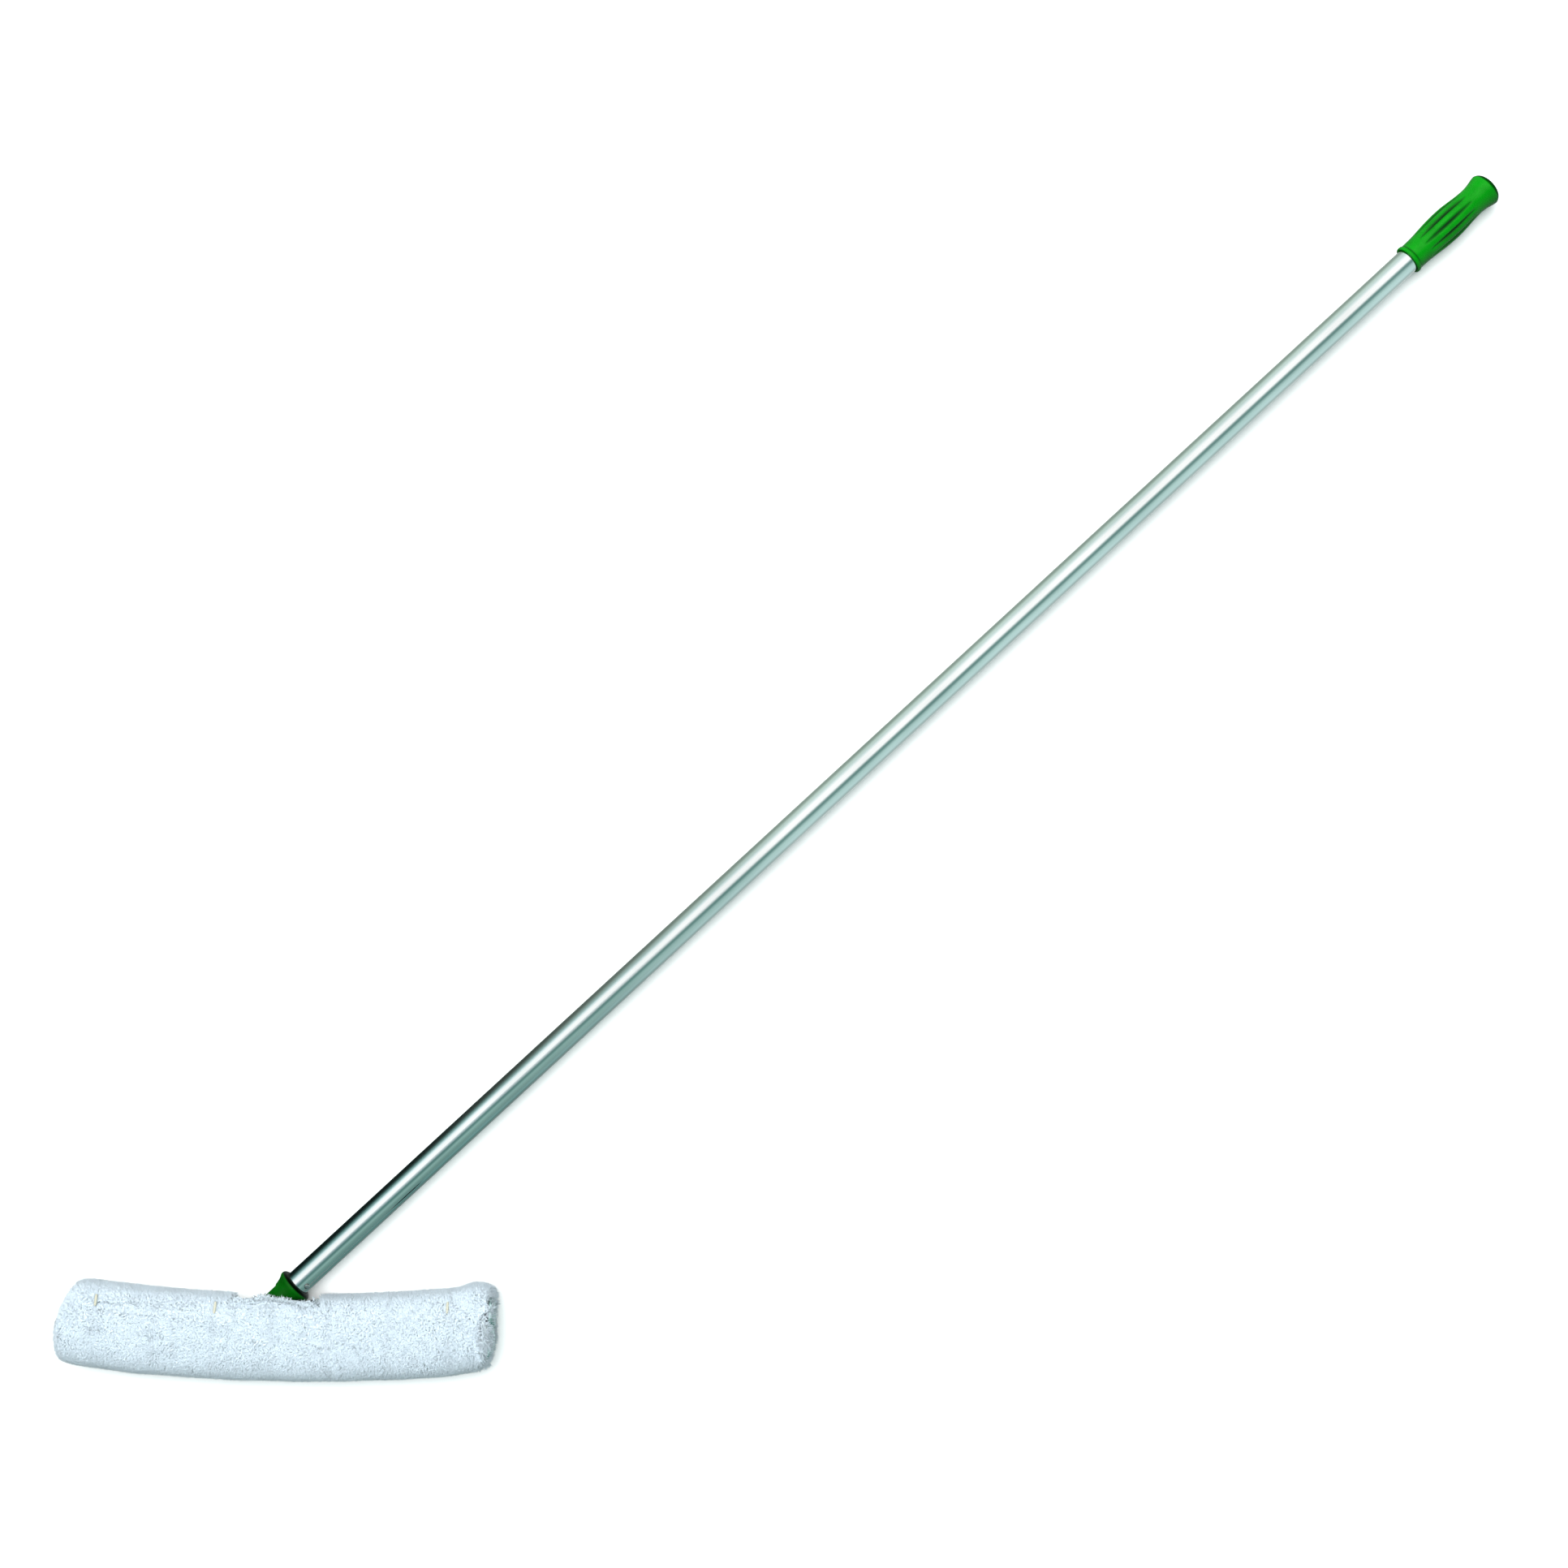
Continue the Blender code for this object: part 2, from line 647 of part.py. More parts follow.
# Grip: a hollow plastic hand grip, a flange first, then a waisted body with long flutes and a blunt end.
def fluted(place, radius, angle):
    share = (place - GRIP_START - FLUTE_FROM) / (FLUTE_TO - FLUTE_FROM)
    if radius <= TUBE_R + BORE_GAP or not 0 < share < 1:
        return radius
    fade = math.sin(math.pi * share) ** 0.55
    groove = (0.5 + 0.5 * math.cos(FLUTES * (angle - math.pi / 2))) ** 3
    return radius - FLUTE_DEPTH * fade * groove


grip_bore = TUBE_R + BORE_GAP
grip_size = TUBE_R / 11.0
grip_outside = [
    (0.0, 13.0),
    (0.5, 13.5),
    (2.7, 13.5),
    (3.4, 13.0),
    (4.6, 12.7),
    (9.0, 12.7),
    (13.5, 12.85),
    (17.0, 13.0),
    (19.5, 13.2),
    (22.5, 13.5),
    (26.0, 13.9),
    (30.0, 14.25),
    (35.0, 14.6),
    (40.0, 14.85),
    (45.0, 15.0),
    (50.0, 14.95),
    (55.0, 14.7),
    (60.0, 14.2),
    (64.0, 13.8),
    (67.5, 13.45),
    (70.5, 13.2),
    (73.0, 13.05),
    (77.0, 12.9),
    (81.0, 13.1),
    (85.5, 13.75),
    (89.5, 14.6),
    (93.0, 15.3),
    (94.6, 15.3),
    (96.0, 14.6),
    (97.4, 12.8),
    (99.6, 7.6),
    (101.2, 2.0),
]
grip_profile = [
    (GRIP_BORE, grip_bore * 0.5),
    (GRIP_BORE, grip_bore),
    (0.8, grip_bore),
    (0.0, grip_bore + 0.6),
]
grip_profile += [(a, r * grip_size) for a, r in grip_outside]
grip_rings = turned([(GRIP_START + a, r) for a, r in grip_profile], 88, ripple=fluted)
piece("grip", grip_rings, (GREEN, 0.3, 0.0), swings=True)
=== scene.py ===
"""Swivel-head mop with a plush sleeve, an aluminium pole and a fluted grip, lying flat.

Sections follow the object as it is put together: frame bar, end plugs, hub bracket, fixings,
fork, tube, rivet, grip, sleeve, end closure, pile, tacks, and last the stage.
X runs along the head, Y towards the pole side, Z up. Sizes are in millimetres, and MM turns
them into metres; the stage and the settings of the shaders are in metres.
"""

import json
import math

import bmesh
import bpy
import numpy as np
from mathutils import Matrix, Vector


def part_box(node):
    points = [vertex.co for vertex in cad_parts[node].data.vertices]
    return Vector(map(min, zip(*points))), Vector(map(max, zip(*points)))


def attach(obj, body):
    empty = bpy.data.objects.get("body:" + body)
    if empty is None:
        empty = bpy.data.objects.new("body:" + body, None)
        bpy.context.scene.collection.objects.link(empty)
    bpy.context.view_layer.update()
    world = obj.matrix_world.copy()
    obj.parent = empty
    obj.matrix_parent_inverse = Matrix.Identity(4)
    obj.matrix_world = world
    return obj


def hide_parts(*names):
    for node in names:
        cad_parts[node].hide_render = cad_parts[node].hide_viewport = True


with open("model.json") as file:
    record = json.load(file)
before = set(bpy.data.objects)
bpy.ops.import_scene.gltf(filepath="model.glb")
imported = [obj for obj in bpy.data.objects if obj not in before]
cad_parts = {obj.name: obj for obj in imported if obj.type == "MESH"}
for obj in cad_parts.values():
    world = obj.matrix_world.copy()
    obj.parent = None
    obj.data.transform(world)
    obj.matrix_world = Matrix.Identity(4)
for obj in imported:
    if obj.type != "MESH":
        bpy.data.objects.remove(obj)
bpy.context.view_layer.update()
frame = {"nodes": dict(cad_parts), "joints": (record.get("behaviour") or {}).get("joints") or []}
nodes = frame["nodes"]
MM = 0.001


# Frame bar: a hollow flat-oval bar of extruded aluminium, cut square at both ends.
# It was pushed through a die, so faint lines run along it, and its skin is a soft grey satin.
def colour(code):
    """A colour from its sRGB hex code, turned linear."""
    parts = [int(code[i : i + 2], 16) / 255 for i in (1, 3, 5)]
    linear = [p / 12.92 if p <= 0.04045 else ((p + 0.055) / 1.055) ** 2.4 for p in parts]
    return (*linear, 1.0)


def add(tree, kind, sockets=None, **settings):
    """Adds a node, with its settings, and links or sets its sockets."""
    made = tree.nodes.new(kind)
    for key, value in settings.items():
        setattr(made, key, value)
    for key, value in (sockets or {}).items():
        if isinstance(value, bpy.types.NodeSocket):
            tree.links.new(value, made.inputs[key])
        else:
            made.inputs[key].default_value = value
    return made


def finish_of(name, base, roughness, metallic=0.0, **more):
    """A new material with its own Principled shader: the material, its tree and the shader."""
    made = bpy.data.materials.new(name)
    made.use_nodes = True
    tree = made.node_tree
    shader = tree.nodes["Principled BSDF"]
    shader.inputs["Base Color"].default_value = colour(base)
    shader.inputs["Roughness"].default_value = roughness
    shader.inputs["Metallic"].default_value = metallic
    for key, value in more.items():
        shader.inputs[key.replace("_", " ")].default_value = value
    return made, tree, shader


def steps(tree, value, *stops):
    """A colour ramp through (place, hex code or grey) stops."""
    ramp = add(tree, "ShaderNodeValToRGB", {"Fac": value})
    points = ramp.color_ramp.elements
    while len(points) < len(stops):
        points.new(0.5)
    for point, (place, tone) in zip(points, stops):
        point.position = place
        point.color = colour(tone) if isinstance(tone, str) else (tone, tone, tone, 1.0)
    return ramp.outputs["Color"]


def vary(tree, shader, socket, value, *stops):
    """Drives one socket of the shader by a ramp over a value."""
    tree.links.new(steps(tree, value, *stops), shader.inputs[socket])


def roughen(tree, shader, height, strength, depth):
    """Gives the surface a fine relief, as deep as given in metres."""
    sockets = {"Height": height, "Strength": strength, "Distance": depth}
    rise = add(tree, "ShaderNodeBump", sockets)
    tree.links.new(rise.outputs["Normal"], shader.inputs["Normal"])


def mixed(tree, factor, first, second, blend="MIX"):
    """The colour between two others."""
    sockets = {"Factor": factor, "A": first, "B": second}
    made = add(tree, "ShaderNodeMix", sockets, data_type="RGBA", blend_type=blend)
    return made.outputs["Result"]


def noise(tree, place, scale, detail, **more):
    """The grey value of a noise texture at a place."""
    sockets = {"Vector": place, "Scale": scale, "Detail": detail, **more}
    return add(tree, "ShaderNodeTexNoise", sockets).outputs["Fac"]


def wear(node_name, material):
    """Gives a carried-over piece its detailed material."""
    slots = nodes[node_name].data.materials
    slots.clear()
    slots.append(material)


extruded, tree, shader = finish_of("extruded_aluminium", "#C9CDCC", 0.36, 1.0)
place = add(tree, "ShaderNodeTexCoord").outputs["Object"]
drawn_out = add(tree, "ShaderNodeMapping", {"Vector": place, "Scale": (6.0, 900.0, 900.0)})
lines = noise(tree, drawn_out.outputs[0], 1.0, 3.0)
vary(tree, shader, "Base Color", lines, (0.3, "#B4B9B8"), (0.7, "#DDE0DF"))
vary(tree, shader, "Roughness", lines, (0.2, 0.28), (0.8, 0.46))
roughen(tree, shader, lines, 0.25, 0.0001)
wear("frame_bar", extruded)

# End plugs: moulded black polyethylene noses pushed into the bar.
# The mould leaves a waxy, slightly mottled skin.
waxy, tree, shader = finish_of("moulded_polyethylene", "#17181A", 0.48)
place = add(tree, "ShaderNodeTexCoord").outputs["Object"]
mottle = noise(tree, place, 900.0, 2.0)
vary(tree, shader, "Base Color", mottle, (0.3, "#121315"), (0.7, "#232527"))
vary(tree, shader, "Roughness", mottle, (0.2, 0.4), (0.8, 0.58))
wear("end_plug_left", waxy)
wear("end_plug_right", waxy)


# Hub bracket: green polypropylene moulded as a saddle with a tongue, bolted round the bar.
# Injection moulding gives it a satin skin with a fine spark-eroded grain.
def moulded_green(name, light, deep, shade_tone, roughness, gloss, grain):
    """Green moulded polypropylene: the colour runs a little uneven, painted shade darkens the
    parts that a point attribute marks, and the skin carries the mould's grain."""
    made, tree, shader = finish_of(name, light, roughness, IOR=1.49, Specular_IOR_Level=gloss)
    place = add(tree, "ShaderNodeTexCoord").outputs["Object"]
    cloud = noise(tree, place, 70.0, 3.0, Roughness=0.6)
    unshaded = steps(tree, cloud, (0.32, deep), (0.68, light))
    # Painted shade: where the attribute is high, the colour turns towards the dark shade tone.
    painted_shade = add(tree, "ShaderNodeAttribute", attribute_name="painted_shade").outputs["Fac"]
    with_shade = mixed(tree, painted_shade, unshaded, colour(shade_tone))
    tree.links.new(with_shade, shader.inputs["Base Color"])
    skin = noise(tree, place, 1400.0, 2.0)
    vary(tree, shader, "Roughness", skin, (0.3, roughness - 0.06), (0.7, roughness + 0.08))
    roughen(tree, shader, skin, grain, 0.0002)
    return made


HUB_TONES = ("#02560A", "#024707", "#011F03")
hub_green = moulded_green("moulded_polypropylene_hub", *HUB_TONES, 0.42, 0.25, 0.30)
wear("hub_bracket", hub_green)

# Fixings: zinc-plated steel bolts, nuts and washers, and two white nylon washers that sit
# between ears and tongue. Plating leaves a pale, faintly blue and yellow bloom on the steel.
plated, tree, shader = finish_of("zinc_plated_steel", "#B9BCBE", 0.34, 1.0)
place = add(tree, "ShaderNodeTexCoord").outputs["Object"]
bloom = noise(tree, place, 260.0, 4.0)
plating = ((0.3, "#A9B0B8"), (0.5, "#C4C6C6"), (0.72, "#C9C3AE"))
vary(tree, shader, "Base Color", bloom, *plating)
vary(tree, shader, "Roughness", bloom, (0.2, 0.24), (0.8, 0.46))
for fixing in (
    "hub_bolt_left",
    "hub_bolt_right",
    "hub_nut_left",
    "hub_nut_right",
    "pivot_bolt",
    "pivot_nut",
    "pivot_washer_top",
    "pivot_washer_bottom",
):
    wear(fixing, plated)

nylon, tree, shader = finish_of("turned_nylon", "#E4E3DA", 0.46, IOR=1.53)
place = add(tree, "ShaderNodeTexCoord").outputs["Object"]
haze = noise(tree, place, 500.0, 2.0)
vary(tree, shader, "Base Color", haze, (0.3, "#DAD9CE"), (0.7, "#EDECE5"))
vary(tree, shader, "Roughness", haze, (0.2, 0.38), (0.8, 0.56))
wear("friction_washer_top", nylon)
wear("friction_washer_bottom", nylon)

# Socket fork: one green polypropylene moulding with two round ears, a flared rim and a spigot.
# It swings on the pivot bolt, and its rim is drawn out thin round the tube's end.
swivel_joint = frame["joints"][0]
PIVOT = Vector(swivel_joint["pos_m"])
POLE_TURN = math.radians(44.0)
ALONG = Vector((math.cos(POLE_TURN), math.sin(POLE_TURN), 0))
ACROSS = Vector((-math.sin(POLE_TURN), math.cos(POLE_TURN), 0))
UP = Vector((0, 0, 1))
FORK_R, FLARE_R, RIM_R, RIM_FACE = 12.3, 15.45, 15.8, 25.0
TUBE_R, TUBE_BORE_R, TUBE_SEAT, TUBE_END = 11.0, 10.0, 22.3, 1422.3
RECESS_END, SPIGOT_R, SPIGOT_BORE_R = 22.0, 9.6, 6.4
SPIGOT_END, SPIGOT_BORE_END = 76.0, 42.0
SLOT_HALF, SLOT_END = 5.1, 11.3
EAR_FACE, EAR_FLAT_R, PIVOT_HOLE_R = 9.0, 8.2, 3.3
RIVET_HOLE_R, SHARP = 1.6, 34
FAR_OUT = 20.0


def on_pole(along_mm, side_mm, up_mm):
    """The place of a point given along the pole from the pivot, to its side, and up."""
    return PIVOT + (ALONG * along_mm + ACROSS * side_mm + UP * up_mm) * MM


def smooth_line(points, fine):
    """A finer copy of a profile, rounded between its points by a Catmull-Rom curve."""
    found = []
    for i in range(len(points) - 1):
        a = points[max(i - 1, 0)]
        b, c = points[i], points[i + 1]
        d = points[min(i + 2, len(points) - 1)]
        for k in range(fine):
            t = k / fine
            spot = []
            for n in range(2):
                lead, fall = (c[n] - a[n]) / 2, (d[n] - b[n]) / 2
                rest = b[n] * (2 * t**3 - 3 * t**2 + 1) + lead * (t**3 - 2 * t**2 + t)
                spot.append(rest + c[n] * (3 * t**2 - 2 * t**3) + fall * (t**3 - t**2))
            found.append(tuple(spot))
    return found + [points[-1]]


def smooth_all_but(mesh, crease):
    """Shades a mesh smooth, apart from edges that turn by more than so many degrees."""
    mesh.shade_smooth()
    mesh.set_sharp_from_angle(angle=math.radians(crease))


def mesh_piece(name, rings, material, closed_loop=False, crease=SHARP):
    """A shaded mesh object through rings of points."""
    count = len(rings[0])
    bm = bmesh.new()
    rows = [[bm.verts.new(p) for p in ring] for ring in rings]
    pairs = list(zip(rows, rows[1:]))
    if closed_loop:
        pairs.append((rows[-1], rows[0]))
    for low, high in pairs:
        for i in range(count):
            j = (i + 1) % count
            bm.faces.new((low[i], low[j], high[j], high[i]))
    if not closed_loop:
        bm.faces.new(rows[0])
        bm.faces.new(rows[-1])
    bmesh.ops.recalc_face_normals(bm, faces=bm.faces)
    mesh = bpy.data.meshes.new(name)
    bm.to_mesh(mesh)
    bm.free()
    if material is not None:
        mesh.materials.append(material)
    smooth_all_but(mesh, crease)
    made = bpy.data.objects.new(name, mesh)
    bpy.context.scene.collection.objects.link(made)
    return made


def turned_on_pole(profile, sides, shape=None):
    """Rings round the pole's axis from (place along it, radius) pairs in millimetres."""
    rings = []
    for along, radius in profile:
        ring = []
        for i in range(sides):
            angle = 2 * math.pi * i / sides
            r = radius if shape is None else shape(along, radius, angle)
            ring.append(on_pole(along, r * math.cos(angle), r * math.sin(angle)))
        rings.append(ring)
    return rings


def settle_cuts(target, cutters):
    """Cuts each cutter from the target for good, removes the cutters and shades the cut mesh."""
    for cutter in cutters:
        step = target.modifiers.new("cut", "BOOLEAN")
        step.operation = "DIFFERENCE"
        step.solver = "EXACT"
        step.object = cutter
    graph = bpy.context.evaluated_depsgraph_get()
    cut = bpy.data.meshes.new_from_object(target.evaluated_get(graph))
    target.modifiers.clear()
    target.data = cut
    for cutter in cutters:
        bpy.data.objects.remove(cutter, do_unlink=True)
    smooth_all_but(cut, SHARP)


back_turns = [math.radians(a) for a in range(3, 90, 4)]
fork_back = [(-FORK_R * math.cos(t), FORK_R * math.sin(t)) for t in back_turns]
flare = [(0.0, FORK_R), (8.0, FORK_R), (12.0, 12.5), (15.5, 13.25), (18.2, 14.4), (20.0, FLARE_R)]
rim = [(20.0, FLARE_R), (21.0, RIM_R), (22.5, 15.7), (23.5, 15.1), (24.4, 13.9), (RIM_FACE, 12.2)]
inside = [
    (RIM_FACE, TUBE_R + 0.6),
    (RIM_FACE - 0.8, TUBE_R + 0.3),
    (RECESS_END, TUBE_R + 0.3),
    (RECESS_END, SPIGOT_R),
    (SPIGOT_END - 2.0, SPIGOT_R),
    (SPIGOT_END, SPIGOT_R - 1.0),
    (SPIGOT_END, SPIGOT_BORE_R),
    (SPIGOT_BORE_END, SPIGOT_BORE_R),
]
fork_line = fork_back + smooth_line(flare, 5) + smooth_line(rim, 4)[1:] + inside
fork = mesh_piece("fork_moulding", turned_on_pole(fork_line, 112), None)
slot_sides = [(-FAR_OUT, -FAR_OUT), (SLOT_END, -FAR_OUT), (SLOT_END, FAR_OUT), (-FAR_OUT, FAR_OUT)]
slot_rings = [[on_pole(x, y, z) for x, y in slot_sides] for z in (-SLOT_HALF, SLOT_HALF)]
slot_cut = mesh_piece("slot_cut", slot_rings, None)


def round_cut(name, radius, low, high, sides=48):
    """A round cutter on the pivot's axis."""
    turns = [2 * math.pi * i / sides for i in range(sides)]
    flat = [(radius * math.cos(t), radius * math.sin(t)) for t in turns]
    return mesh_piece(name, [[on_pole(x, y, z) for x, y in flat] for z in (low, high)], None)


RIVET_AT, RIVET_ROUND = 31.0, math.radians(42.0)
rivet_out = -ACROSS * math.sin(RIVET_ROUND) + UP * math.cos(RIVET_ROUND)
rivet_side = ACROSS * math.cos(RIVET_ROUND) + UP * math.sin(RIVET_ROUND)


def rivet_rings(profile, sides=32):
    """Rings round the rivet's axis from (height from the pole's axis, radius) pairs."""
    rings = []
    for height, radius in profile:
        ring = []
        for i in range(sides):
            t = 2 * math.pi * i / sides
            spot = rivet_out * height + (ALONG * math.cos(t) + rivet_side * math.sin(t)) * radius
            ring.append(PIVOT + (ALONG * RIVET_AT + spot) * MM)
        rings.append(ring)
    return rings


def rivet_cut(name, low, high):
    """A cutter for the rivet's hole between two heights from the pole's axis."""
    return mesh_piece(name, rivet_rings([(low, RIVET_HOLE_R), (high, RIVET_HOLE_R)]), None)


spigot_cut = rivet_cut("spigot_cut", 5.6, 10.8)
settle_cuts(
    fork,
    [
        slot_cut,
        round_cut("ear_cut_top", EAR_FLAT_R, EAR_FACE, FAR_OUT),
        round_cut("ear_cut_bottom", EAR_FLAT_R, -FAR_OUT, -EAR_FACE),
        round_cut("pivot_cut", PIVOT_HOLE_R, -FAR_OUT, FAR_OUT),
        spigot_cut,
    ],
)
# The fork's green is darker than the grip's: painted shade, for the same green plastic lying in
# shade.
FORK_TONES = ("#025205", "#014003", "#000801")
fork_green = moulded_green("moulded_polypropylene_fork", *FORK_TONES, 0.32, 0.11, 0.20)
fork.data.materials.clear()
fork.data.materials.append(fork_green)


def mark_painted_shade(mesh, rule):
    """Marks how much painted shade each point gets, by its place along the pole, radius and angle.
    """
    painted_shade = mesh.attributes.new("painted_shade", "FLOAT", "POINT")
    for v in mesh.vertices:
        from_pivot = (v.co - PIVOT) / MM
        side, up = from_pivot.dot(ACROSS), from_pivot.z
        amount = rule(from_pivot.dot(ALONG), math.hypot(side, up), math.atan2(up, side))
        painted_shade.data[v.index].value = min(max(amount, 0.0), 1.0)


def rim_shade(along, radius, angle):
    """Painted shade: dark under the rim's edge and in the recess round the tube."""
    recess = 0.5 if radius < TUBE_R + 0.9 else 0.0
    return max((along - 22.4) / 0.9, recess)


mark_painted_shade(fork.data, rim_shade)
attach(fork, "pole")
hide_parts("socket_fork")

# Pole tube: drawn aluminium, 22 mm across with a 1 mm wall, polished and clear anodised.
# The polish mirrors the room in long bands, and drawing leaves hair lines along the tube.
polished, tree, shader = finish_of("polished_drawn_aluminium", "#F1F4F3", 0.13, 1.0)
place = add(tree, "ShaderNodeTexCoord").outputs["Object"]
lengthwise = add(
    tree,
    "ShaderNodeMapping",
    {"Vector": place, "Location": PIVOT, "Rotation": (0.0, 0.0, POLE_TURN)},
    vector_type="TEXTURE",
)
on_tube = lengthwise.outputs[0]
hairs = add(tree, "ShaderNodeMapping", {"Vector": on_tube, "Scale": (4.0, 1500.0, 1500.0)})
hair = noise(tree, hairs.outputs[0], 1.0, 3.0)
patches = add(tree, "ShaderNodeMapping", {"Vector": on_tube, "Scale": (14.0, 60.0, 60.0)})
patch = noise(tree, patches.outputs[0], 1.0, 4.0)
vary(tree, shader, "Base Color", patch, (0.3, "#E6EAE9"), (0.7, "#F6F8F7"))
vary(tree, shader, "Roughness", hair, (0.25, 0.09), (0.75, 0.19))
roughen(tree, shader, hair, 0.10, 0.00005)
tube_line = [
    (TUBE_SEAT, TUBE_R - 0.25),
    (TUBE_SEAT + 0.25, TUBE_R),
    (TUBE_SEAT + 200, TUBE_R),
    (TUBE_END - 200, TUBE_R),
    (TUBE_END - 0.25, TUBE_R),
    (TUBE_END, TUBE_R - 0.25),
    (TUBE_END, TUBE_BORE_R),
    (TUBE_SEAT, TUBE_BORE_R),
]
tube = mesh_piece("drawn_tube", turned_on_pole(tube_line, 160), polished, closed_loop=True)
settle_cuts(tube, [rivet_cut("rivet_cut", 7.0, 14.0)])
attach(tube, "pole")
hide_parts("pole_tube")

# Rivet: a small steel blind rivet with a domed head, set a little round from the top.
# Its mandrel breaks off inside, which leaves a dimple in the dome.
shank = [(5.9, 1.0), (6.4, 1.3), (11.3, 1.3)]
dome = [(11.3, 2.3), (11.45, 2.4), (11.65, 2.4), (11.95, 2.15), (12.2, 1.7), (12.35, 1.2)]
dimple = [(12.38, 0.95), (12.1, 0.8), (12.0, 0.3)]
rivet = mesh_piece("blind_rivet", rivet_rings(shank + dome + dimple), plated)
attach(rivet, "pole")
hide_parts("tube_rivet")

# Grip: a glossy green polypropylene handle pushed on the tube: a flange, a waisted body with
# eleven lens-shaped flutes, a flared end and a blunt cone. The flutes give hold when wet.
GRIP_START, GRIP_BORE, GRIP_BORE_R = 1337.0, 86.0, 11.3
FLUTES, FLUTE_DEPTH, FLUTE_HALF = 11, 1.6, 1.55
FLUTE_FROM, FLUTE_TO = 17.0, 73.0
grip_inside = [(GRIP_BORE, 5.6)] + [(a, GRIP_BORE_R) for a in (GRIP_BORE, 60.0, 30.0, 0.8)]
grip_inside.append((0.0, 11.9))
grip_flange = [(0.0, 12.9), (0.15, 13.3), (0.6, 13.5), (1.6, 13.55), (2.5, 13.5), (3.0, 13.3)]
grip_flange.append((3.4, 12.95))
grip_body = [
    (3.4, 12.95),
    (4.6, 12.68),
    (9.0, 12.7),
    (14.0, 12.85),
    (19.0, 13.15),
    (24.0, 13.65),
    (30.0, 14.25),
    (37.0, 14.75),
    (45.0, 15.0),
    (52.0, 14.85),
    (59.0, 14.3),
    (65.0, 13.65),
    (71.0, 13.15),
    (77.0, 12.9),
    (81.5, 13.1),
    (86.0, 13.8),
    (90.0, 14.75),
    (93.0, 15.3),
]
grip_end = [(93.0, 15.3), (93.7, 15.25), (94.7, 14.9), (96.1, 14.0)]
grip_end += [(97.6, 12.4), (99.2, 9.0), (100.6, 4.8), (101.2, 1.2)]
grip_line = grip_inside + grip_flange + smooth_line(grip_body, 6)[1:] + smooth_line(grip_end, 4)[1:]


def flute_share(along, radius, angle):
    """How far into a flute a point lies, from 0 to 1; flutes narrow and fade to both ends."""
    share = (along - GRIP_START - FLUTE_FROM) / (FLUTE_TO - FLUTE_FROM)
    if radius < GRIP_BORE_R + 0.3 or not 0 < share < 1:
        return 0.0
    lens = math.sin(math.pi * share) ** 0.6
    pitch = 2 * math.pi / FLUTES
    off = (angle - math.pi / 2 + pitch / 2) % pitch - pitch / 2
    reach = off * radius / (FLUTE_HALF * (0.35 + 0.65 * lens))
    return lens * math.exp(-reach * reach)


def fluted(along, radius, angle):
    """The grip's radius with its flutes cut in."""
    return radius - FLUTE_DEPTH * flute_share(along, radius, angle)


def grip_shade(along, radius, angle):
    """Painted shade sits in the flutes, behind the flange, on the sides turned from the lamp, and
    on the end.
    """
    from_start = along - GRIP_START
    end = (from_start - 93.3) / 1.3
    neck = 0.7 * math.exp(-(((from_start - 4.0) / 0.7) ** 2))
    # Painted shade on the sides: darker as a side turns away from the lit top.
    toward_lamp = math.sin(angle + math.radians(25))
    under = 0.62 * min(max(0.85 - toward_lamp, 0.0), 1.0)
    flute = flute_share(along, radius, angle) ** 0.7
    return max(flute, 0.85 * min(end, 1.0), neck, under)


grip_rings = turned_on_pole([(GRIP_START + a, r) for a, r in grip_line], 220, fluted)
GRIP_TONES = ("#028A0B", "#017908", "#002103")
grip_green = moulded_green("glossy_polypropylene_grip", *GRIP_TONES, 0.26, 0.16, 0.08)
grip = mesh_piece("fluted_grip", grip_rings, grip_green, crease=50)
mark_painted_shade(grip.data, grip_shade)
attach(grip, "pole")
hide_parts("grip")

# Sleeve: a knitted tube with a thick white plush pile, drawn over the bar and bowed by the
# pull of its mouth. The knitted backing is made from the solid of the sleeve, and lies a
# pile's depth inside its outline; seams, folds and the rolled lip are moves of its points.
HALF_X, HALF_Y, TOP_Z, MID_Z, LOW_Z = 188.5, 37.0, 40.0, 17.0, 19.0
BOW, CORNER_POWER = 13.3, 2.5
CLOSED_END_X, OPEN_END_X = -182, 166
CLOTH_STEP, CLOTH_LOWEST, PILE_DEPTH = 2.6, 0.6, 4.4
LIP_FROM_Y, LIP_FROM_Z, LIP_HALF = 12, 27.5, 40
LIP_REACH, LIP_START_Y = 35.8, 26.2
LIP_CLEAR_Z, LIP_CLEAR_RISE = 30.3, 1.4


def middle_y(x):
    """The middle line of the bowed sleeve."""
    return BOW * (x / HALF_X) ** 2


def rim_share(p):
    """0 at the middle of the sleeve's section and 1 on its outline."""
    rise = TOP_Z - MID_Z if p[2] >= MID_Z else LOW_Z
    across = abs((p[1] - middle_y(p[0])) / HALF_Y) ** CORNER_POWER
    return across + abs((p[2] - MID_Z) / rise) ** CORNER_POWER


def within(value, low=0.0, high=1.0):
    """The value, held between two limits."""
    return min(max(value, low), high)


def hump(value, middle, reach):
    """1 at the middle, falling off smoothly by the reach to both sides."""
    return math.exp(-(((value - middle) / reach) ** 2))


def cut_back(p):
    """Pulls corners in: the closed end slants on the pole side, the open end on the far side."""
    x, y = p.x, p.y
    near = within((-x - 138) / 50)
    if near > 0 and y > 6:
        x += 21 * near**1.4 * ((y - 6) / 42) ** 1.5
    near = within((x - 148) / 40)
    if near > 0 and y < -4:
        x -= 11 * near**1.4 * ((-4 - y) / 24) ** 1.3
    return Vector((x, y, p.z))


def lip_rise(aside):
    """How much higher the rolled lip has to lie over the fork, away from its middle."""
    return LIP_CLEAR_RISE * within((aside - 10) / 4)


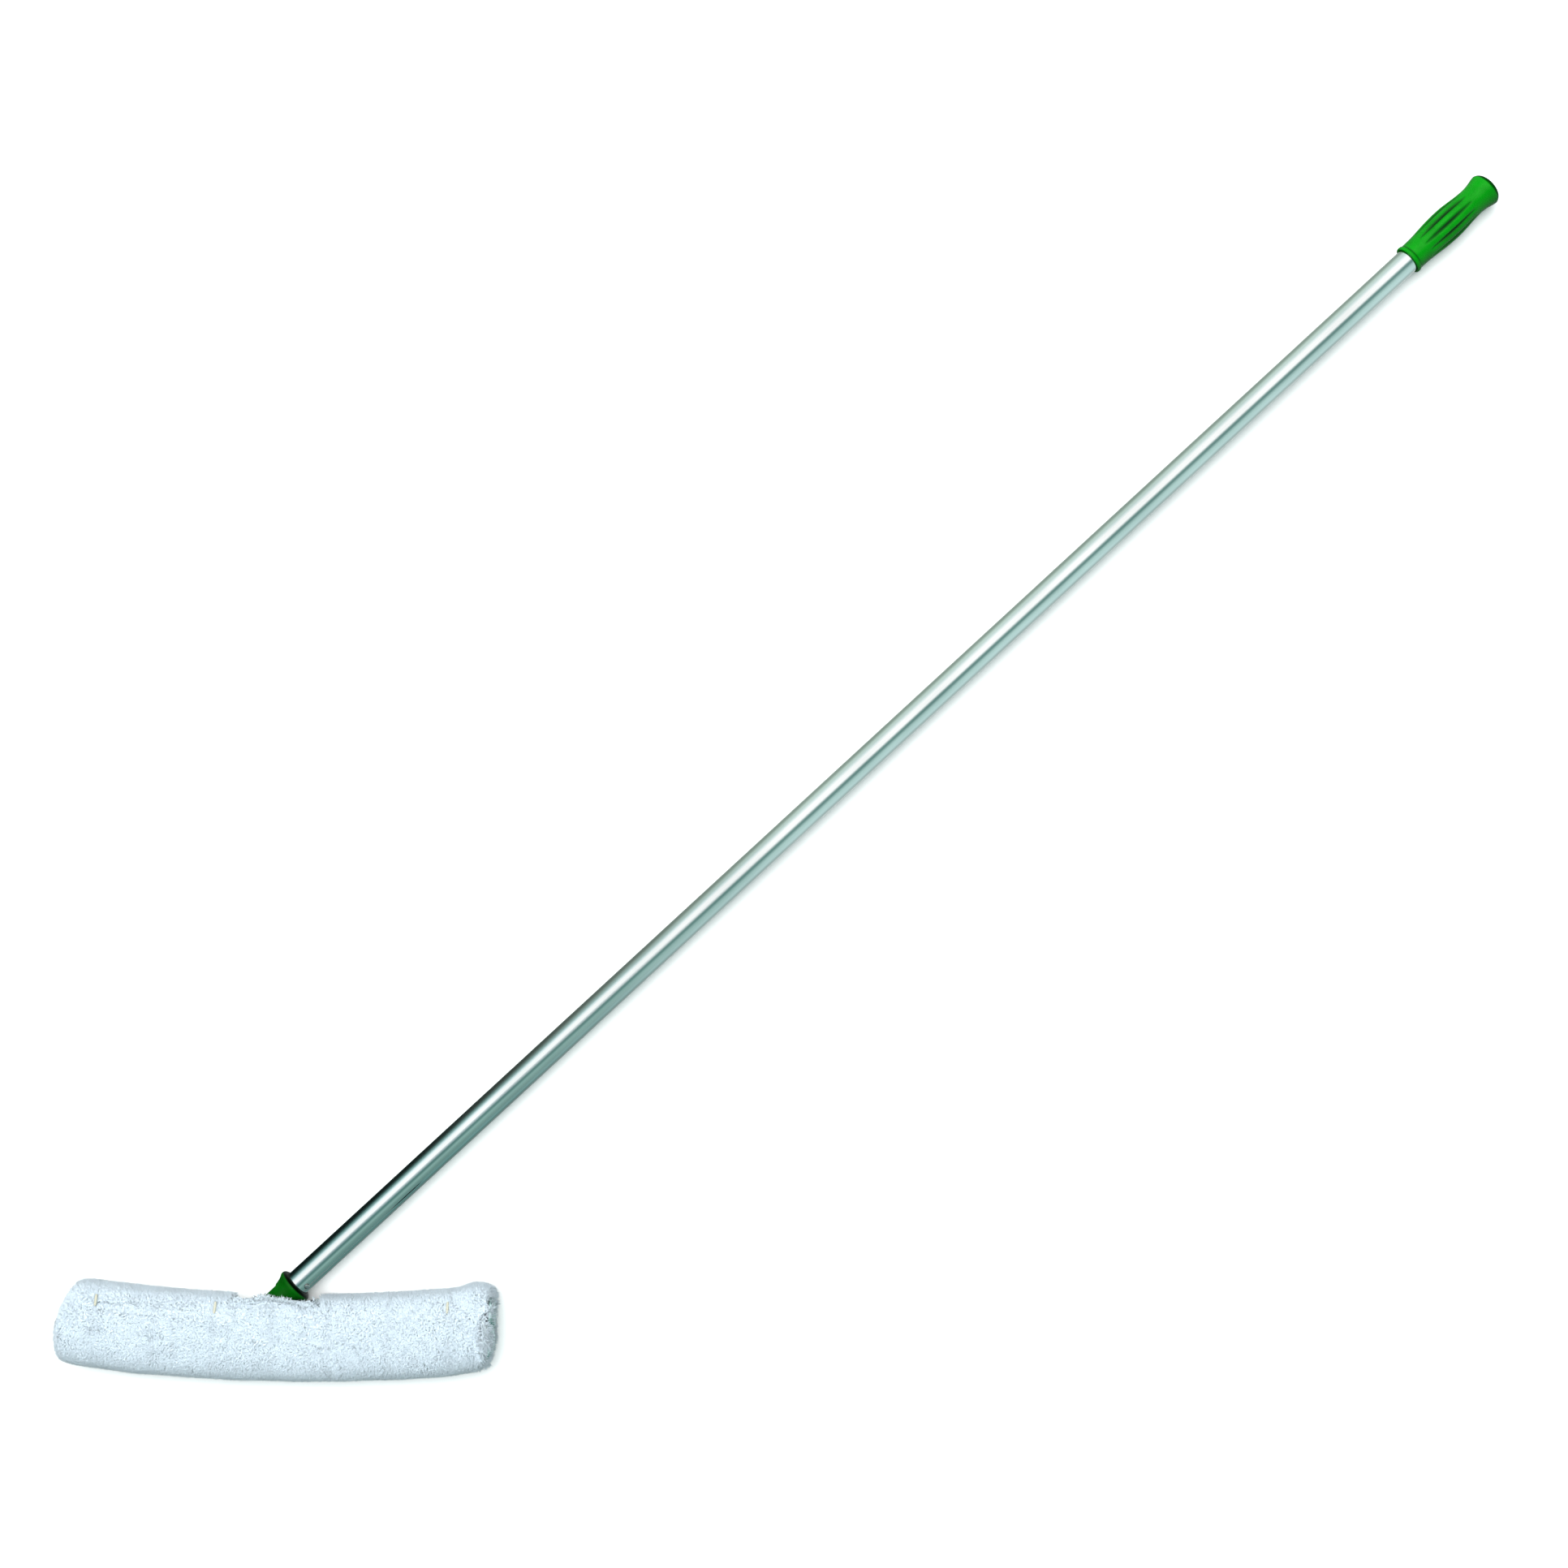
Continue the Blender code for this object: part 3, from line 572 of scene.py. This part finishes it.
def roll_out(p):
    """Rolls the cloth above the sleeve's opening out over the fork's ears, clear of them."""
    if p.z < LIP_FROM_Z or p.y < LIP_FROM_Y or abs(p.x) > LIP_HALF:
        return p
    share = min((p.y - LIP_FROM_Y) / 14, 1.0)
    share *= share * (3 - 2 * share) * (1 - (abs(p.x) / LIP_HALF) ** 6)
    lip = LIP_REACH - 0.03 * abs(p.x + 7) + 1.8 * hump(p.x, -8, 9)
    rolled = Vector((p.x, p.y + (lip - LIP_START_Y) * share, p.z))
    if rolled.y > 24 and abs(p.x) < 34:
        rolled.z = max(rolled.z, LIP_CLEAR_Z + lip_rise(abs(p.x)))
    return rolled


def crease(p):
    """How deep the cloth dips at a point: soft folds that run from the tacks and the mouth."""
    x, y, z = p
    across = y - middle_y(x)
    if z < MID_Z:
        return 0.0
    long_fold = hump(across, 23.5 + 0.02 * x, 3.0) * (1 / (1 + math.exp((x + 62) / 8)))
    long_fold *= 1 / (1 + math.exp(-(x + 168) / 5))
    v_left = hump(across, 14 + 0.55 * (x - 36), 2.6) * hump(x, 42, 12)
    v_right = hump(across, 14 - 0.55 * (x - 36), 2.6) * hump(x, 30, 12)
    swell = math.sin(0.11 * x + 1.3 * math.sin(0.05 * y)) * math.cos(0.08 * y + 0.03 * x)
    return 2.4 * long_fold + 1.5 * v_left + 1.2 * v_right + 0.9 * (0.5 + 0.5 * swell)


backing_mesh = nodes["sleeve"].data.copy()
backing = bpy.data.objects.new("knitted_backing", backing_mesh)
bpy.context.scene.collection.objects.link(backing)
bm = bmesh.new()
bm.from_mesh(backing_mesh)
bmesh.ops.remove_doubles(bm, verts=bm.verts, dist=0.00001)
bmesh.ops.triangulate(bm, faces=bm.faces)
bm.to_mesh(backing_mesh)
bm.free()
even = backing.modifiers.new("even", "REMESH")
even.mode = "VOXEL"
even.voxel_size = CLOTH_STEP * MM
graph = bpy.context.evaluated_depsgraph_get()
backing.data = bpy.data.meshes.new_from_object(backing.evaluated_get(graph))
backing.modifiers.clear()
bm = bmesh.new()
bm.from_mesh(backing.data)
bm.normal_update()
on_face = []
settled = []
for v in bm.verts:
    p = v.co / MM
    grown = rim_share(p) > 0.62 or p.x < CLOSED_END_X
    on_face.append(1.0 if grown else 0.0)
    if grown:
        under = max(0.0, -v.normal.z)
        depth = PILE_DEPTH * (1 - under) + 1.4 * under
        if p.x < CLOSED_END_X:
            depth += 3.2
        if p.y < middle_y(p.x):
            depth += 2.6 * (1 - abs(v.normal.z)) * (1 - 0.9 * (p.x / 165) ** 2)
        lump = 6.0 * math.exp(-(((p.x - 171) / 11) ** 2) - (((p.y - 50) / 10) ** 2))
        p = p - v.normal * (depth + crease(p) - lump)
    if p.x > OPEN_END_X and rim_share(p) > 0.5:
        over = min((p.x - OPEN_END_X) / 12, 1.0)
        ripple = 1.6 * math.sin(p.y / 4.6) + 1.2 * math.sin(p.y / 2.3 + p.z / 5)
        p.x += (4.2 + ripple) * over * over * (3 - 2 * over)
    p = cut_back(roll_out(p))
    p.z = max(p.z, CLOTH_LOWEST)
    settled.append(p * MM)
for v, p in zip(bm.verts, settled):
    v.co = p
bm.to_mesh(backing.data)
bm.free()
faced = backing.data.attributes.new("faced", "FLOAT", "POINT")
faced.data.foreach_set("value", on_face)
backing.data.shade_smooth()

knit, tree, shader = finish_of("knitted_polyester_backing", "#DCE8EC", 0.92)
place = add(tree, "ShaderNodeTexCoord").outputs["Object"]
knit_rows = {"Vector": place, "Scale": 210.0, "Distortion": 2.0}
ribs = add(tree, "ShaderNodeTexWave", knit_rows, bands_direction="X").outputs["Fac"]
vary(tree, shader, "Base Color", ribs, (0.2, "#C6D5DA"), (0.8, "#E6F0F3"))
roughen(tree, shader, ribs, 0.5, 0.0004)
backing.data.materials.clear()
backing.data.materials.append(knit)

# End closure: the sleeve's open end is shut by a flap of the same plush cloth, held by hook
# and loop tape. The flap's cut edge is turned in, so it puckers, and the pile is sparse in
# its folds.
tape_cloth, tree, shader = finish_of("woven_nylon_tape", "#DDE3E0", 0.85)
place = add(tree, "ShaderNodeTexCoord").outputs["Object"]
weave = add(tree, "ShaderNodeTexVoronoi", {"Vector": place, "Scale": 900.0}).outputs["Distance"]
vary(tree, shader, "Base Color", weave, (0.0, "#EEF2F0"), (0.6, "#B9C2BF"))
roughen(tree, shader, weave, 0.6, 0.0004)
wear("loop_tape", tape_cloth)
wear("hook_tape", tape_cloth)

flap_low, flap_high = (Vector(c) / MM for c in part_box("end_flap"))
flap_mid_y = (flap_low.y + flap_high.y) / 2
flap_mid_z = (flap_low.z + flap_high.z) / 2
flap_half_y = (flap_high.y - flap_low.y) / 2
flap_half_z = (flap_high.z - flap_low.z) / 2
FLAP_GAP, FLAP_SIDES, FLAP_LOWEST = 0.4, 120, 0.8
flap_profile = [(0.0, 0.80), (0.1, 0.88), (0.3, 0.90), (0.5, 0.87), (0.68, 0.80)]
flap_profile += [(0.82, 0.68), (0.92, 0.50), (0.98, 0.25), (1.0, 0.06)]
rings = []
grown = []
fold_shade_share = []
for share, spread in flap_profile:
    ring = []
    for i in range(FLAP_SIDES):
        t = 2 * math.pi * i / FLAP_SIDES
        c, s = math.cos(t), math.sin(t)
        pucker = 1.0 + share * (0.05 * math.sin(9 * t + 0.8) + 0.03 * math.sin(14 * t + 2))
        half_y = flap_half_y * spread * pucker
        half_z = flap_half_z * spread * pucker
        y = flap_mid_y + half_y * math.copysign(abs(c) ** 0.75, c)
        z = flap_mid_z + half_z * math.copysign(abs(s) ** 0.75, s)
        wave = math.sin(7 * t + 2.5 * share) + 0.5 * math.sin(16 * t + 1)
        fold = 1.7 * wave * share * (1.15 - share)
        depth = flap_high.x - flap_low.x - 2 * FLAP_GAP
        x = flap_low.x + FLAP_GAP + depth * share + fold
        ring.append(cut_back(Vector((x, y, max(z, FLAP_LOWEST)))) * MM)
        grown.append(0.55 if share < 0.7 and wave > 0.1 else 0.06)
        # How much painted shade each point of the flap gets in its folds.
        fold_shade_share.append(within(0.42 - 0.5 * wave))
    rings.append(ring)
# The flap is painted a darker, greener grey than the sleeve's cloth: painted shade, for an end
# turned away from the lamp.
flap_cloth, tree, shader = finish_of("knitted_flap_cloth", "#C7D8D6", 0.9)
place = add(tree, "ShaderNodeTexCoord").outputs["Object"]
knit_rows = {"Vector": place, "Scale": 260.0, "Distortion": 1.2}
rows = add(tree, "ShaderNodeTexWave", knit_rows, bands_direction="Z").outputs["Fac"]
knitted = steps(tree, rows, (0.1, "#A9C2C3"), (0.9, "#C6DADC"))
# Painted shade: the folds turn towards a deep teal where the attribute marks them.
fold_shade = add(tree, "ShaderNodeAttribute", attribute_name="fold_shade").outputs["Fac"]
shaded = mixed(tree, fold_shade, knitted, colour("#57807B"))
tree.links.new(shaded, shader.inputs["Base Color"])
roughen(tree, shader, rows, 0.6, 0.0005)
flap = mesh_piece("turned_in_flap", rings, flap_cloth, crease=80)
faced = flap.data.attributes.new("faced", "FLOAT", "POINT")
faced.data.foreach_set("value", grown)
fold_shade = flap.data.attributes.new("fold_shade", "FLOAT", "POINT")
fold_shade.data.foreach_set("value", fold_shade_share)
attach(flap, "head")
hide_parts("end_flap")

# Pile: locks of fine polyester fibre stand on the cloth, lean together in soft swirls and
# close over it. Each lock is one curved, tapering tuft, about three times as coarse as a real
# one. A lock is shaded mostly by the way its cloth faces, which makes the pile look soft.
soft_sheen = {"Sheen_Weight": 0.2, "Sheen_Roughness": 0.5}
plush, tree, shader = finish_of("plush_polyester_pile", "#F2F8FB", 0.9, **soft_sheen)
shader.subsurface_method = "BURLEY"
shader.inputs["Subsurface Weight"].default_value = 0.2
shader.inputs["Subsurface Radius"].default_value = (1.0, 1.0, 1.0)
shader.inputs["Subsurface Scale"].default_value = 0.0015
height_up = add(tree, "ShaderNodeAttribute", attribute_name="up_the_lock").outputs["Fac"]
tone = add(tree, "ShaderNodeAttribute", attribute_name="lock_tone").outputs["Fac"]
# Painted shade: each lock is darker at its root and lighter towards its tip.
root_shade = steps(tree, height_up, (0.0, "#CCD8E0"), (0.5, "#D0DBE3"), (1.0, "#D4DEE6"))
from_lock = steps(tree, tone, (0.0, "#F5F9FB"), (1.0, "#FFFFFF"))
both = mixed(tree, 1.0, root_shade, from_lock, "MULTIPLY")
tree.links.new(both, shader.inputs["Base Color"])
ground_way = add(tree, "ShaderNodeAttribute", attribute_name="ground_normal").outputs["Vector"]
facing = add(
    tree,
    "ShaderNodeVectorTransform",
    {"Vector": ground_way},
    vector_type="NORMAL",
    convert_from="OBJECT",
    convert_to="WORLD",
)
own_way = add(tree, "ShaderNodeNewGeometry").outputs["Normal"]
both_ways = {"Factor": 0.75, "A": own_way, "B": facing.outputs[0]}
blend = add(tree, "ShaderNodeMix", both_ways, data_type="VECTOR")
softened = add(tree, "ShaderNodeVectorMath", {0: blend.outputs["Result"]}, operation="NORMALIZE")
tree.links.new(softened.outputs[0], shader.inputs["Normal"])

LOCK_LENGTH, LOCK_WIDTH = 5.4, 0.95
LOCK_SIDES, LOCK_TIP, TIP_SAG = 3, 0.98, 0.42
lock_mesh = bpy.data.meshes.new("lock")
bm = bmesh.new()
lock_rows = []
for height, width, sag in ((0.0, 1.0, 0.0), (0.55, 0.9, 0.12)):
    row = []
    for i in range(LOCK_SIDES):
        t = 2 * math.pi * i / LOCK_SIDES
        half = LOCK_WIDTH / 2 * width
        x, y = half * math.cos(t) + sag * LOCK_LENGTH, half * math.sin(t)
        row.append(bm.verts.new(Vector((x, y, height * LOCK_LENGTH)) * MM))
    lock_rows.append(row)
tip = bm.verts.new(Vector((TIP_SAG * LOCK_LENGTH, 0, LOCK_TIP * LOCK_LENGTH)) * MM)
root_row, upper_row = lock_rows
for i in range(LOCK_SIDES):
    j = (i + 1) % LOCK_SIDES
    bm.faces.new((root_row[i], root_row[j], upper_row[j], upper_row[i]))
    bm.faces.new((upper_row[i], upper_row[j], tip))
bm.to_mesh(lock_mesh)
bm.free()
up = lock_mesh.attributes.new("up_the_lock", "FLOAT", "POINT")
for v in lock_mesh.vertices:
    up.data[v.index].value = v.co.z / (LOCK_TIP * LOCK_LENGTH * MM)
lock_mesh.shade_smooth()
lock = bpy.data.objects.new("lock", lock_mesh)
bpy.context.scene.collection.objects.link(lock)


def pile_tree():
    """Locks scattered where the attribute 'grows' says, leaning together by a slow noise and
    a little at random."""

    def maths(kind, first, second, operation):
        return add(made, kind, {0: first, 1: second}, operation=operation).outputs[0]

    def random_between(low, high, seed):
        sockets = {"Min": low, "Max": high, "Seed": seed}
        return add(made, "FunctionNodeRandomValue", sockets, data_type="FLOAT").outputs[1]

    def turned(rotation, by):
        sockets = {"Rotation": rotation, "Rotate By": by}
        settings = {"rotation_type": "EULER", "space": "LOCAL"}
        return add(made, "FunctionNodeRotateEuler", sockets, **settings).outputs[0]

    def named(name):
        node = add(made, "GeometryNodeInputNamedAttribute", {"Name": name}, data_type="FLOAT")
        return node.outputs["Attribute"]

    def stored(geometry, name, value, kind):
        sockets = {"Geometry": geometry, "Name": name, "Value": value}
        settings = {"data_type": kind, "domain": "INSTANCE"}
        return add(made, "GeometryNodeStoreNamedAttribute", sockets, **settings).outputs[0]

    made = bpy.data.node_groups.new("plush_pile", "GeometryNodeTree")
    face = made.interface
    face.new_socket("Geometry", in_out="INPUT", socket_type="NodeSocketGeometry")
    for label, kind in (
        ("Locks Per Square Metre", "NodeSocketFloat"),
        ("Swirl Lean", "NodeSocketFloat"),
        ("Stray Lean", "NodeSocketFloat"),
        ("Seed", "NodeSocketInt"),
        ("Lock", "NodeSocketObject"),
        ("Pile Material", "NodeSocketMaterial"),
    ):
        face.new_socket(label, in_out="INPUT", socket_type=kind)
    face.new_socket("Geometry", in_out="OUTPUT", socket_type="NodeSocketGeometry")
    given = add(made, "NodeGroupInput").outputs
    thick = maths("ShaderNodeMath", named("grows"), given["Locks Per Square Metre"], "MULTIPLY")
    spread = add(
        made,
        "GeometryNodeDistributePointsOnFaces",
        {"Mesh": given["Geometry"], "Density": thick, "Seed": given["Seed"]},
    )
    shape = add(made, "GeometryNodeObjectInfo", {"Object": given["Lock"]})
    swirl = add(made, "ShaderNodeTexNoise", {"Scale": 55.0, "Detail": 2.0, "Roughness": 0.55})
    middle = (0.5, 0.5, 0.5)
    centred = maths("ShaderNodeVectorMath", swirl.outputs["Color"], middle, "SUBTRACT")
    sweep = {0: centred, "Scale": given["Swirl Lean"]}
    swept = add(made, "ShaderNodeVectorMath", sweep, operation="SCALE").outputs[0]
    flat = maths("ShaderNodeVectorMath", swept, (1.0, 1.0, 0.0), "MULTIPLY")
    leant = turned(spread.outputs["Rotation"], flat)
    whole_turn = 6.2832
    spin = random_between(0.0, whole_turn, 3)
    stray = random_between(-1.0, 1.0, 5)
    off = maths("ShaderNodeMath", stray, given["Stray Lean"], "MULTIPLY")
    twist = add(made, "ShaderNodeCombineXYZ", {"X": off, "Z": spin})
    size = random_between(0.8, 1.1, 7)
    planted = add(
        made,
        "GeometryNodeInstanceOnPoints",
        {
            "Points": spread.outputs["Points"],
            "Instance": shape.outputs["Geometry"],
            "Rotation": turned(leant, twist.outputs[0]),
            "Scale": maths("ShaderNodeMath", size, named("length"), "MULTIPLY"),
        },
    )
    tone = random_between(0.0, 1.0, 11)
    toned = stored(planted.outputs[0], "lock_tone", tone, "FLOAT")
    aimed = stored(toned, "ground_normal", spread.outputs["Normal"], "FLOAT_VECTOR")
    whole = add(made, "GeometryNodeRealizeInstances", {"Geometry": aimed})
    dress = {"Geometry": whole.outputs[0], "Material": given["Pile Material"]}
    dressed = add(made, "GeometryNodeSetMaterial", dress)
    add(made, "NodeGroupOutput", {"Geometry": dressed.outputs[0]})
    return made


def socket_of(tree, label):
    """The identifier of an input of a Geometry Nodes tree."""
    sockets = tree.interface.items_tree
    return next(s.identifier for s in sockets if s.name == label and s.in_out == "INPUT")


plush_tree = pile_tree()
LOCKS_PER_M2 = 2950000.0
PILE_LOWEST, LIP_PILE_LOWEST = 0.4, 30.0
MOUTH_MID_X, MOUTH_HALF, MOUTH_FROM_Y, MOUTH_TOP_Z = 1, 38, 26, 29.2
STRIPS, STRIP_WIDTH, FIRST_STRIP_X = 8, 50, -200


def grow_pile(name, ground, x_from, x_to, seed, long=1.0):
    """A plain mesh of locks on the part of the ground between two places along the head."""
    bed = bpy.data.objects.new(name + "_bed", ground.data.copy())
    bpy.context.scene.collection.objects.link(bed)
    grows = bed.data.attributes.new("grows", "FLOAT", "POINT")
    length = bed.data.attributes.new("length", "FLOAT", "POINT")
    faced = bed.data.attributes["faced"]
    for v in bed.data.vertices:
        p = v.co / MM
        here = faced.data[v.index].value if x_from <= p.x < x_to else 0.0
        beside = abs(p.x - MOUTH_MID_X) < MOUTH_HALF
        if beside and p.y > MOUTH_FROM_Y and p.z < MOUTH_TOP_Z:
            here = 0.0
        down = max(0.0, -v.normal.z)
        grows.data[v.index].value = here * (1.0 - 0.5 * down)
        on_lip = abs(p.x) < 37 and p.y > 27 and p.z > 28
        lip = 0.72 if on_lip else 1.0
        length.data[v.index].value = long * lip * (1.0 - 0.45 * down)
    step = bed.modifiers.new("pile", "NODES")
    step.node_group = plush_tree
    for label, value in (
        ("Locks Per Square Metre", LOCKS_PER_M2),
        ("Swirl Lean", 1.8),
        ("Stray Lean", 0.24),
        ("Seed", seed),
        ("Lock", lock),
        ("Pile Material", plush),
    ):
        step[socket_of(plush_tree, label)] = value
    graph = bpy.context.evaluated_depsgraph_get()
    mesh = bpy.data.meshes.new_from_object(bed.evaluated_get(graph))
    bpy.data.objects.remove(bed, do_unlink=True)
    spots = np.empty(len(mesh.vertices) * 3, np.float32)
    mesh.vertices.foreach_get("co", spots)
    spots = spots.reshape(-1, 3)
    aside = np.abs(spots[:, 0]) / MM
    over_fork = (aside < 35) & (spots[:, 1] > 24 * MM) & (spots[:, 2] > 26 * MM)
    over_lip = LIP_PILE_LOWEST + LIP_CLEAR_RISE * np.clip((aside - 10) / 4, 0, 1)
    lowest = np.where(over_fork, over_lip, PILE_LOWEST) * MM
    spots[:, 2] = np.maximum(spots[:, 2], lowest)
    mesh.vertices.foreach_set("co", spots.ravel())
    mesh.update()
    made = bpy.data.objects.new(name, mesh)
    made.visible_glossy = False
    bpy.context.scene.collection.objects.link(made)
    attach(made, "head")
    return made


for i in range(STRIPS):
    x_from = FIRST_STRIP_X + STRIP_WIDTH * i
    strip = grow_pile("pile_%d" % (i + 1), backing, x_from, x_from + STRIP_WIDTH, 21 + i)
grow_pile("pile_of_flap", flap, 100, 220, 32, 0.55)
bpy.data.objects.remove(lock, do_unlink=True)
backing.visible_glossy = False
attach(backing, "head")
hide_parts("sleeve")

# Tacks: three short bars of beige polyester thread, sewn across the seam to lock it.
# Each is a core of thread wound round and round, so it shows as a row of close turns.
thread, tree, shader = finish_of("beige_polyester_thread", "#C6C2AE", 0.85)
place = add(tree, "ShaderNodeTexCoord").outputs["Object"]
fuzz = noise(tree, place, 1800.0, 2.0)
vary(tree, shader, "Base Color", fuzz, (0.3, "#B4B2A0"), (0.7, "#C9C7B6"))
TURNS, STEPS_A_TURN, TACK_SIDES, CORE_R = 9, 6, 12, 0.75
for label in ("tack_left", "tack_mid", "tack_right"):
    low, high = (Vector(c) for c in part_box(label))
    rings = []
    for k in range(TURNS * STEPS_A_TURN + 1):
        share = k / (TURNS * STEPS_A_TURN)
        y = low.y + (high.y - low.y) * share
        bulge = 1.0 + 0.16 * math.cos(2 * math.pi * k / STEPS_A_TURN)
        half = (high.x - low.x) / 2 * bulge * (0.55 + 0.45 * math.sin(math.pi * share) ** 0.4)
        slope = (high.z - low.z - 1.3 * MM) * (1 - share)
        mid = Vector(((low.x + high.x) / 2, y, low.z + slope))
        ring = []
        for i in range(TACK_SIDES):
            t = 2 * math.pi * i / TACK_SIDES
            ring.append(mid + Vector((half * math.cos(t), 0, CORE_R * MM * bulge * math.sin(t))))
        rings.append(ring)
    bar = mesh_piece("thread_" + label, rings, thread, crease=80)
    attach(bar, "head")
    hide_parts(label)

# Stage: a plain pale floor, one wide soft lamp overhead, a room that only shows as the long
# bands on the polished tube, and the camera over the middle of the pole.
FLOOR_HALF, ROOM_STRENGTH = 9, 1.12
LAMP_AT, LAMP_TOWARDS, LAMP_SIDE, LAMP_WATTS = (-0.1, 1.1, 3.3), (0.4, 0.45, 0.0), 4.0, 195.0
CAMERA_AT, CAMERA_TURN, LENS = (0.4122, 0.3665, 2.1239), (3.212, -0.400, 1.329), 55.9006211
paint, tree, shader = finish_of("pale_floor", "#FAFAFA", 0.9)
place = add(tree, "ShaderNodeTexCoord").outputs["Object"]
dust = noise(tree, place, 3.0, 2.0)
vary(tree, shader, "Base Color", dust, (0.3, "#F8F8F8"), (0.7, "#FCFCFC"))
floor_mesh = bpy.data.meshes.new("floor")
corners = [(FLOOR_HALF * x, FLOOR_HALF * y, 0) for x, y in ((-1, -1), (1, -1), (1, 1), (-1, 1))]
floor_mesh.from_pydata(corners, [], [(0, 1, 2, 3)])
floor_mesh.materials.append(paint)
floor = bpy.data.objects.new("floor", floor_mesh)
bpy.context.scene.collection.objects.link(floor)
floor.visible_glossy = False

world = bpy.data.worlds.new("studio")
bpy.context.scene.world = world
world.use_nodes = True
tree = world.node_tree
backdrop = tree.nodes["Background"]
heading = add(tree, "ShaderNodeTexCoord").outputs["Generated"]


def part_along(way):
    """How far the heading goes one way, from -1 to 1."""
    node = add(tree, "ShaderNodeVectorMath", {0: heading, 1: way}, operation="DOT_PRODUCT")
    return node.outputs["Value"]


def maths(first, second, operation):
    """The outcome of one sum."""
    return add(tree, "ShaderNodeMath", {0: first, 1: second}, operation=operation).outputs[0]


round_pole = maths(part_along(tuple(-ACROSS)), part_along(tuple(UP)), "ARCTAN2")
turn_place = maths(maths(round_pole, 2 * math.pi, "DIVIDE"), 0.5, "ADD")


def room_bands(first, *bands):
    """The room's colour by the angle round the pole, in degrees from straight up."""
    stops = [(angle / 360 + 0.5, tone) for angle, tone in bands]
    return steps(tree, turn_place, (0.0, first), *stops)


# Round the pole the room runs from dark to a white strip and back. It is darker towards the
# mop's head, and nearly black beyond the grip's end.
far_room = room_bands(
    "#B4BFB9",
    (-150, "#A2B0A8"),
    (-121, "#84948B"),
    (-101, "#9BAFA5"),
    (-81, "#BFD4CB"),
    (-61, "#C8DAD7"),
    (-46, "#E4F0F0"),
    (-32, "#FFFFFF"),
    (2, "#FFFFFF"),
    (10, "#C4D2D1"),
    (19, "#6F8F8C"),
    (33, "#648783"),
    (46, "#98B7B3"),
    (59, "#AECECA"),
    (79, "#B8D5D3"),
    (99, "#BCD8D7"),
    (119, "#A2B9B8"),
    (139, "#A5B4B2"),
    (159, "#C3CDCB"),
)
near_room = room_bands(
    "#5A6664",
    (-161, "#3C4848"),
    (-141, "#122222"),
    (-121, "#081412"),
    (-101, "#081412"),
    (-81, "#294A47"),
    (-61, "#78A09E"),
    (-44, "#DCF0F4"),
    (-32, "#FCFFFF"),
    (-10, "#FCFFFF"),
    (0, "#A5B9BE"),
    (14, "#587E7C"),
    (24, "#527874"),
    (40, "#86ACA6"),
    (59, "#6C8F89"),
    (79, "#5C807C"),
    (99, "#628C8A"),
    (119, "#4C726F"),
    (139, "#697D7A"),
    (159, "#7D8A8A"),
)
lengthways = part_along(tuple(ALONG))
towards_grip = {"Value": lengthways, "From Min": -0.17, "From Max": 0.06}
nearness = add(tree, "ShaderNodeMapRange", towards_grip, interpolation_type="SMOOTHSTEP")
room = mixed(tree, nearness.outputs[0], near_room, far_room)
end_place = add(tree, "ShaderNodeMapRange", {"Value": lengthways, "From Min": -1.0}).outputs[0]
end_wall = steps(tree, end_place, (0.0, 0.35), (0.25, 1.0), (0.78, 1.0), (0.93, 0.06))
walled = mixed(tree, 1.0, room, end_wall, "MULTIPLY")
tree.links.new(walled, backdrop.inputs["Color"])
backdrop.inputs["Strength"].default_value = ROOM_STRENGTH

lamp_data = bpy.data.lights.new("overhead_soft_box", "AREA")
lamp_data.shape = "RECTANGLE"
lamp_data.size = LAMP_SIDE
lamp_data.size_y = LAMP_SIDE
lamp_data.energy = LAMP_WATTS
lamp = bpy.data.objects.new("overhead_soft_box", lamp_data)
lamp.location = LAMP_AT
towards = Vector(LAMP_TOWARDS) - Vector(LAMP_AT)
lamp.rotation_euler = towards.to_track_quat("-Z", "Y").to_euler()
lamp.visible_glossy = False
bpy.context.scene.collection.objects.link(lamp)

camera_data = bpy.data.cameras.new("camera")
camera_data.lens = LENS
camera_data.sensor_width = 36.0
camera_data.clip_end = 50.0
camera = bpy.data.objects.new("camera", camera_data)
camera.location = CAMERA_AT
camera.rotation_euler = tuple(math.radians(a) for a in CAMERA_TURN)
bpy.context.scene.collection.objects.link(camera)
bpy.context.scene.camera = camera
bpy.context.scene.view_settings.view_transform = "Standard"
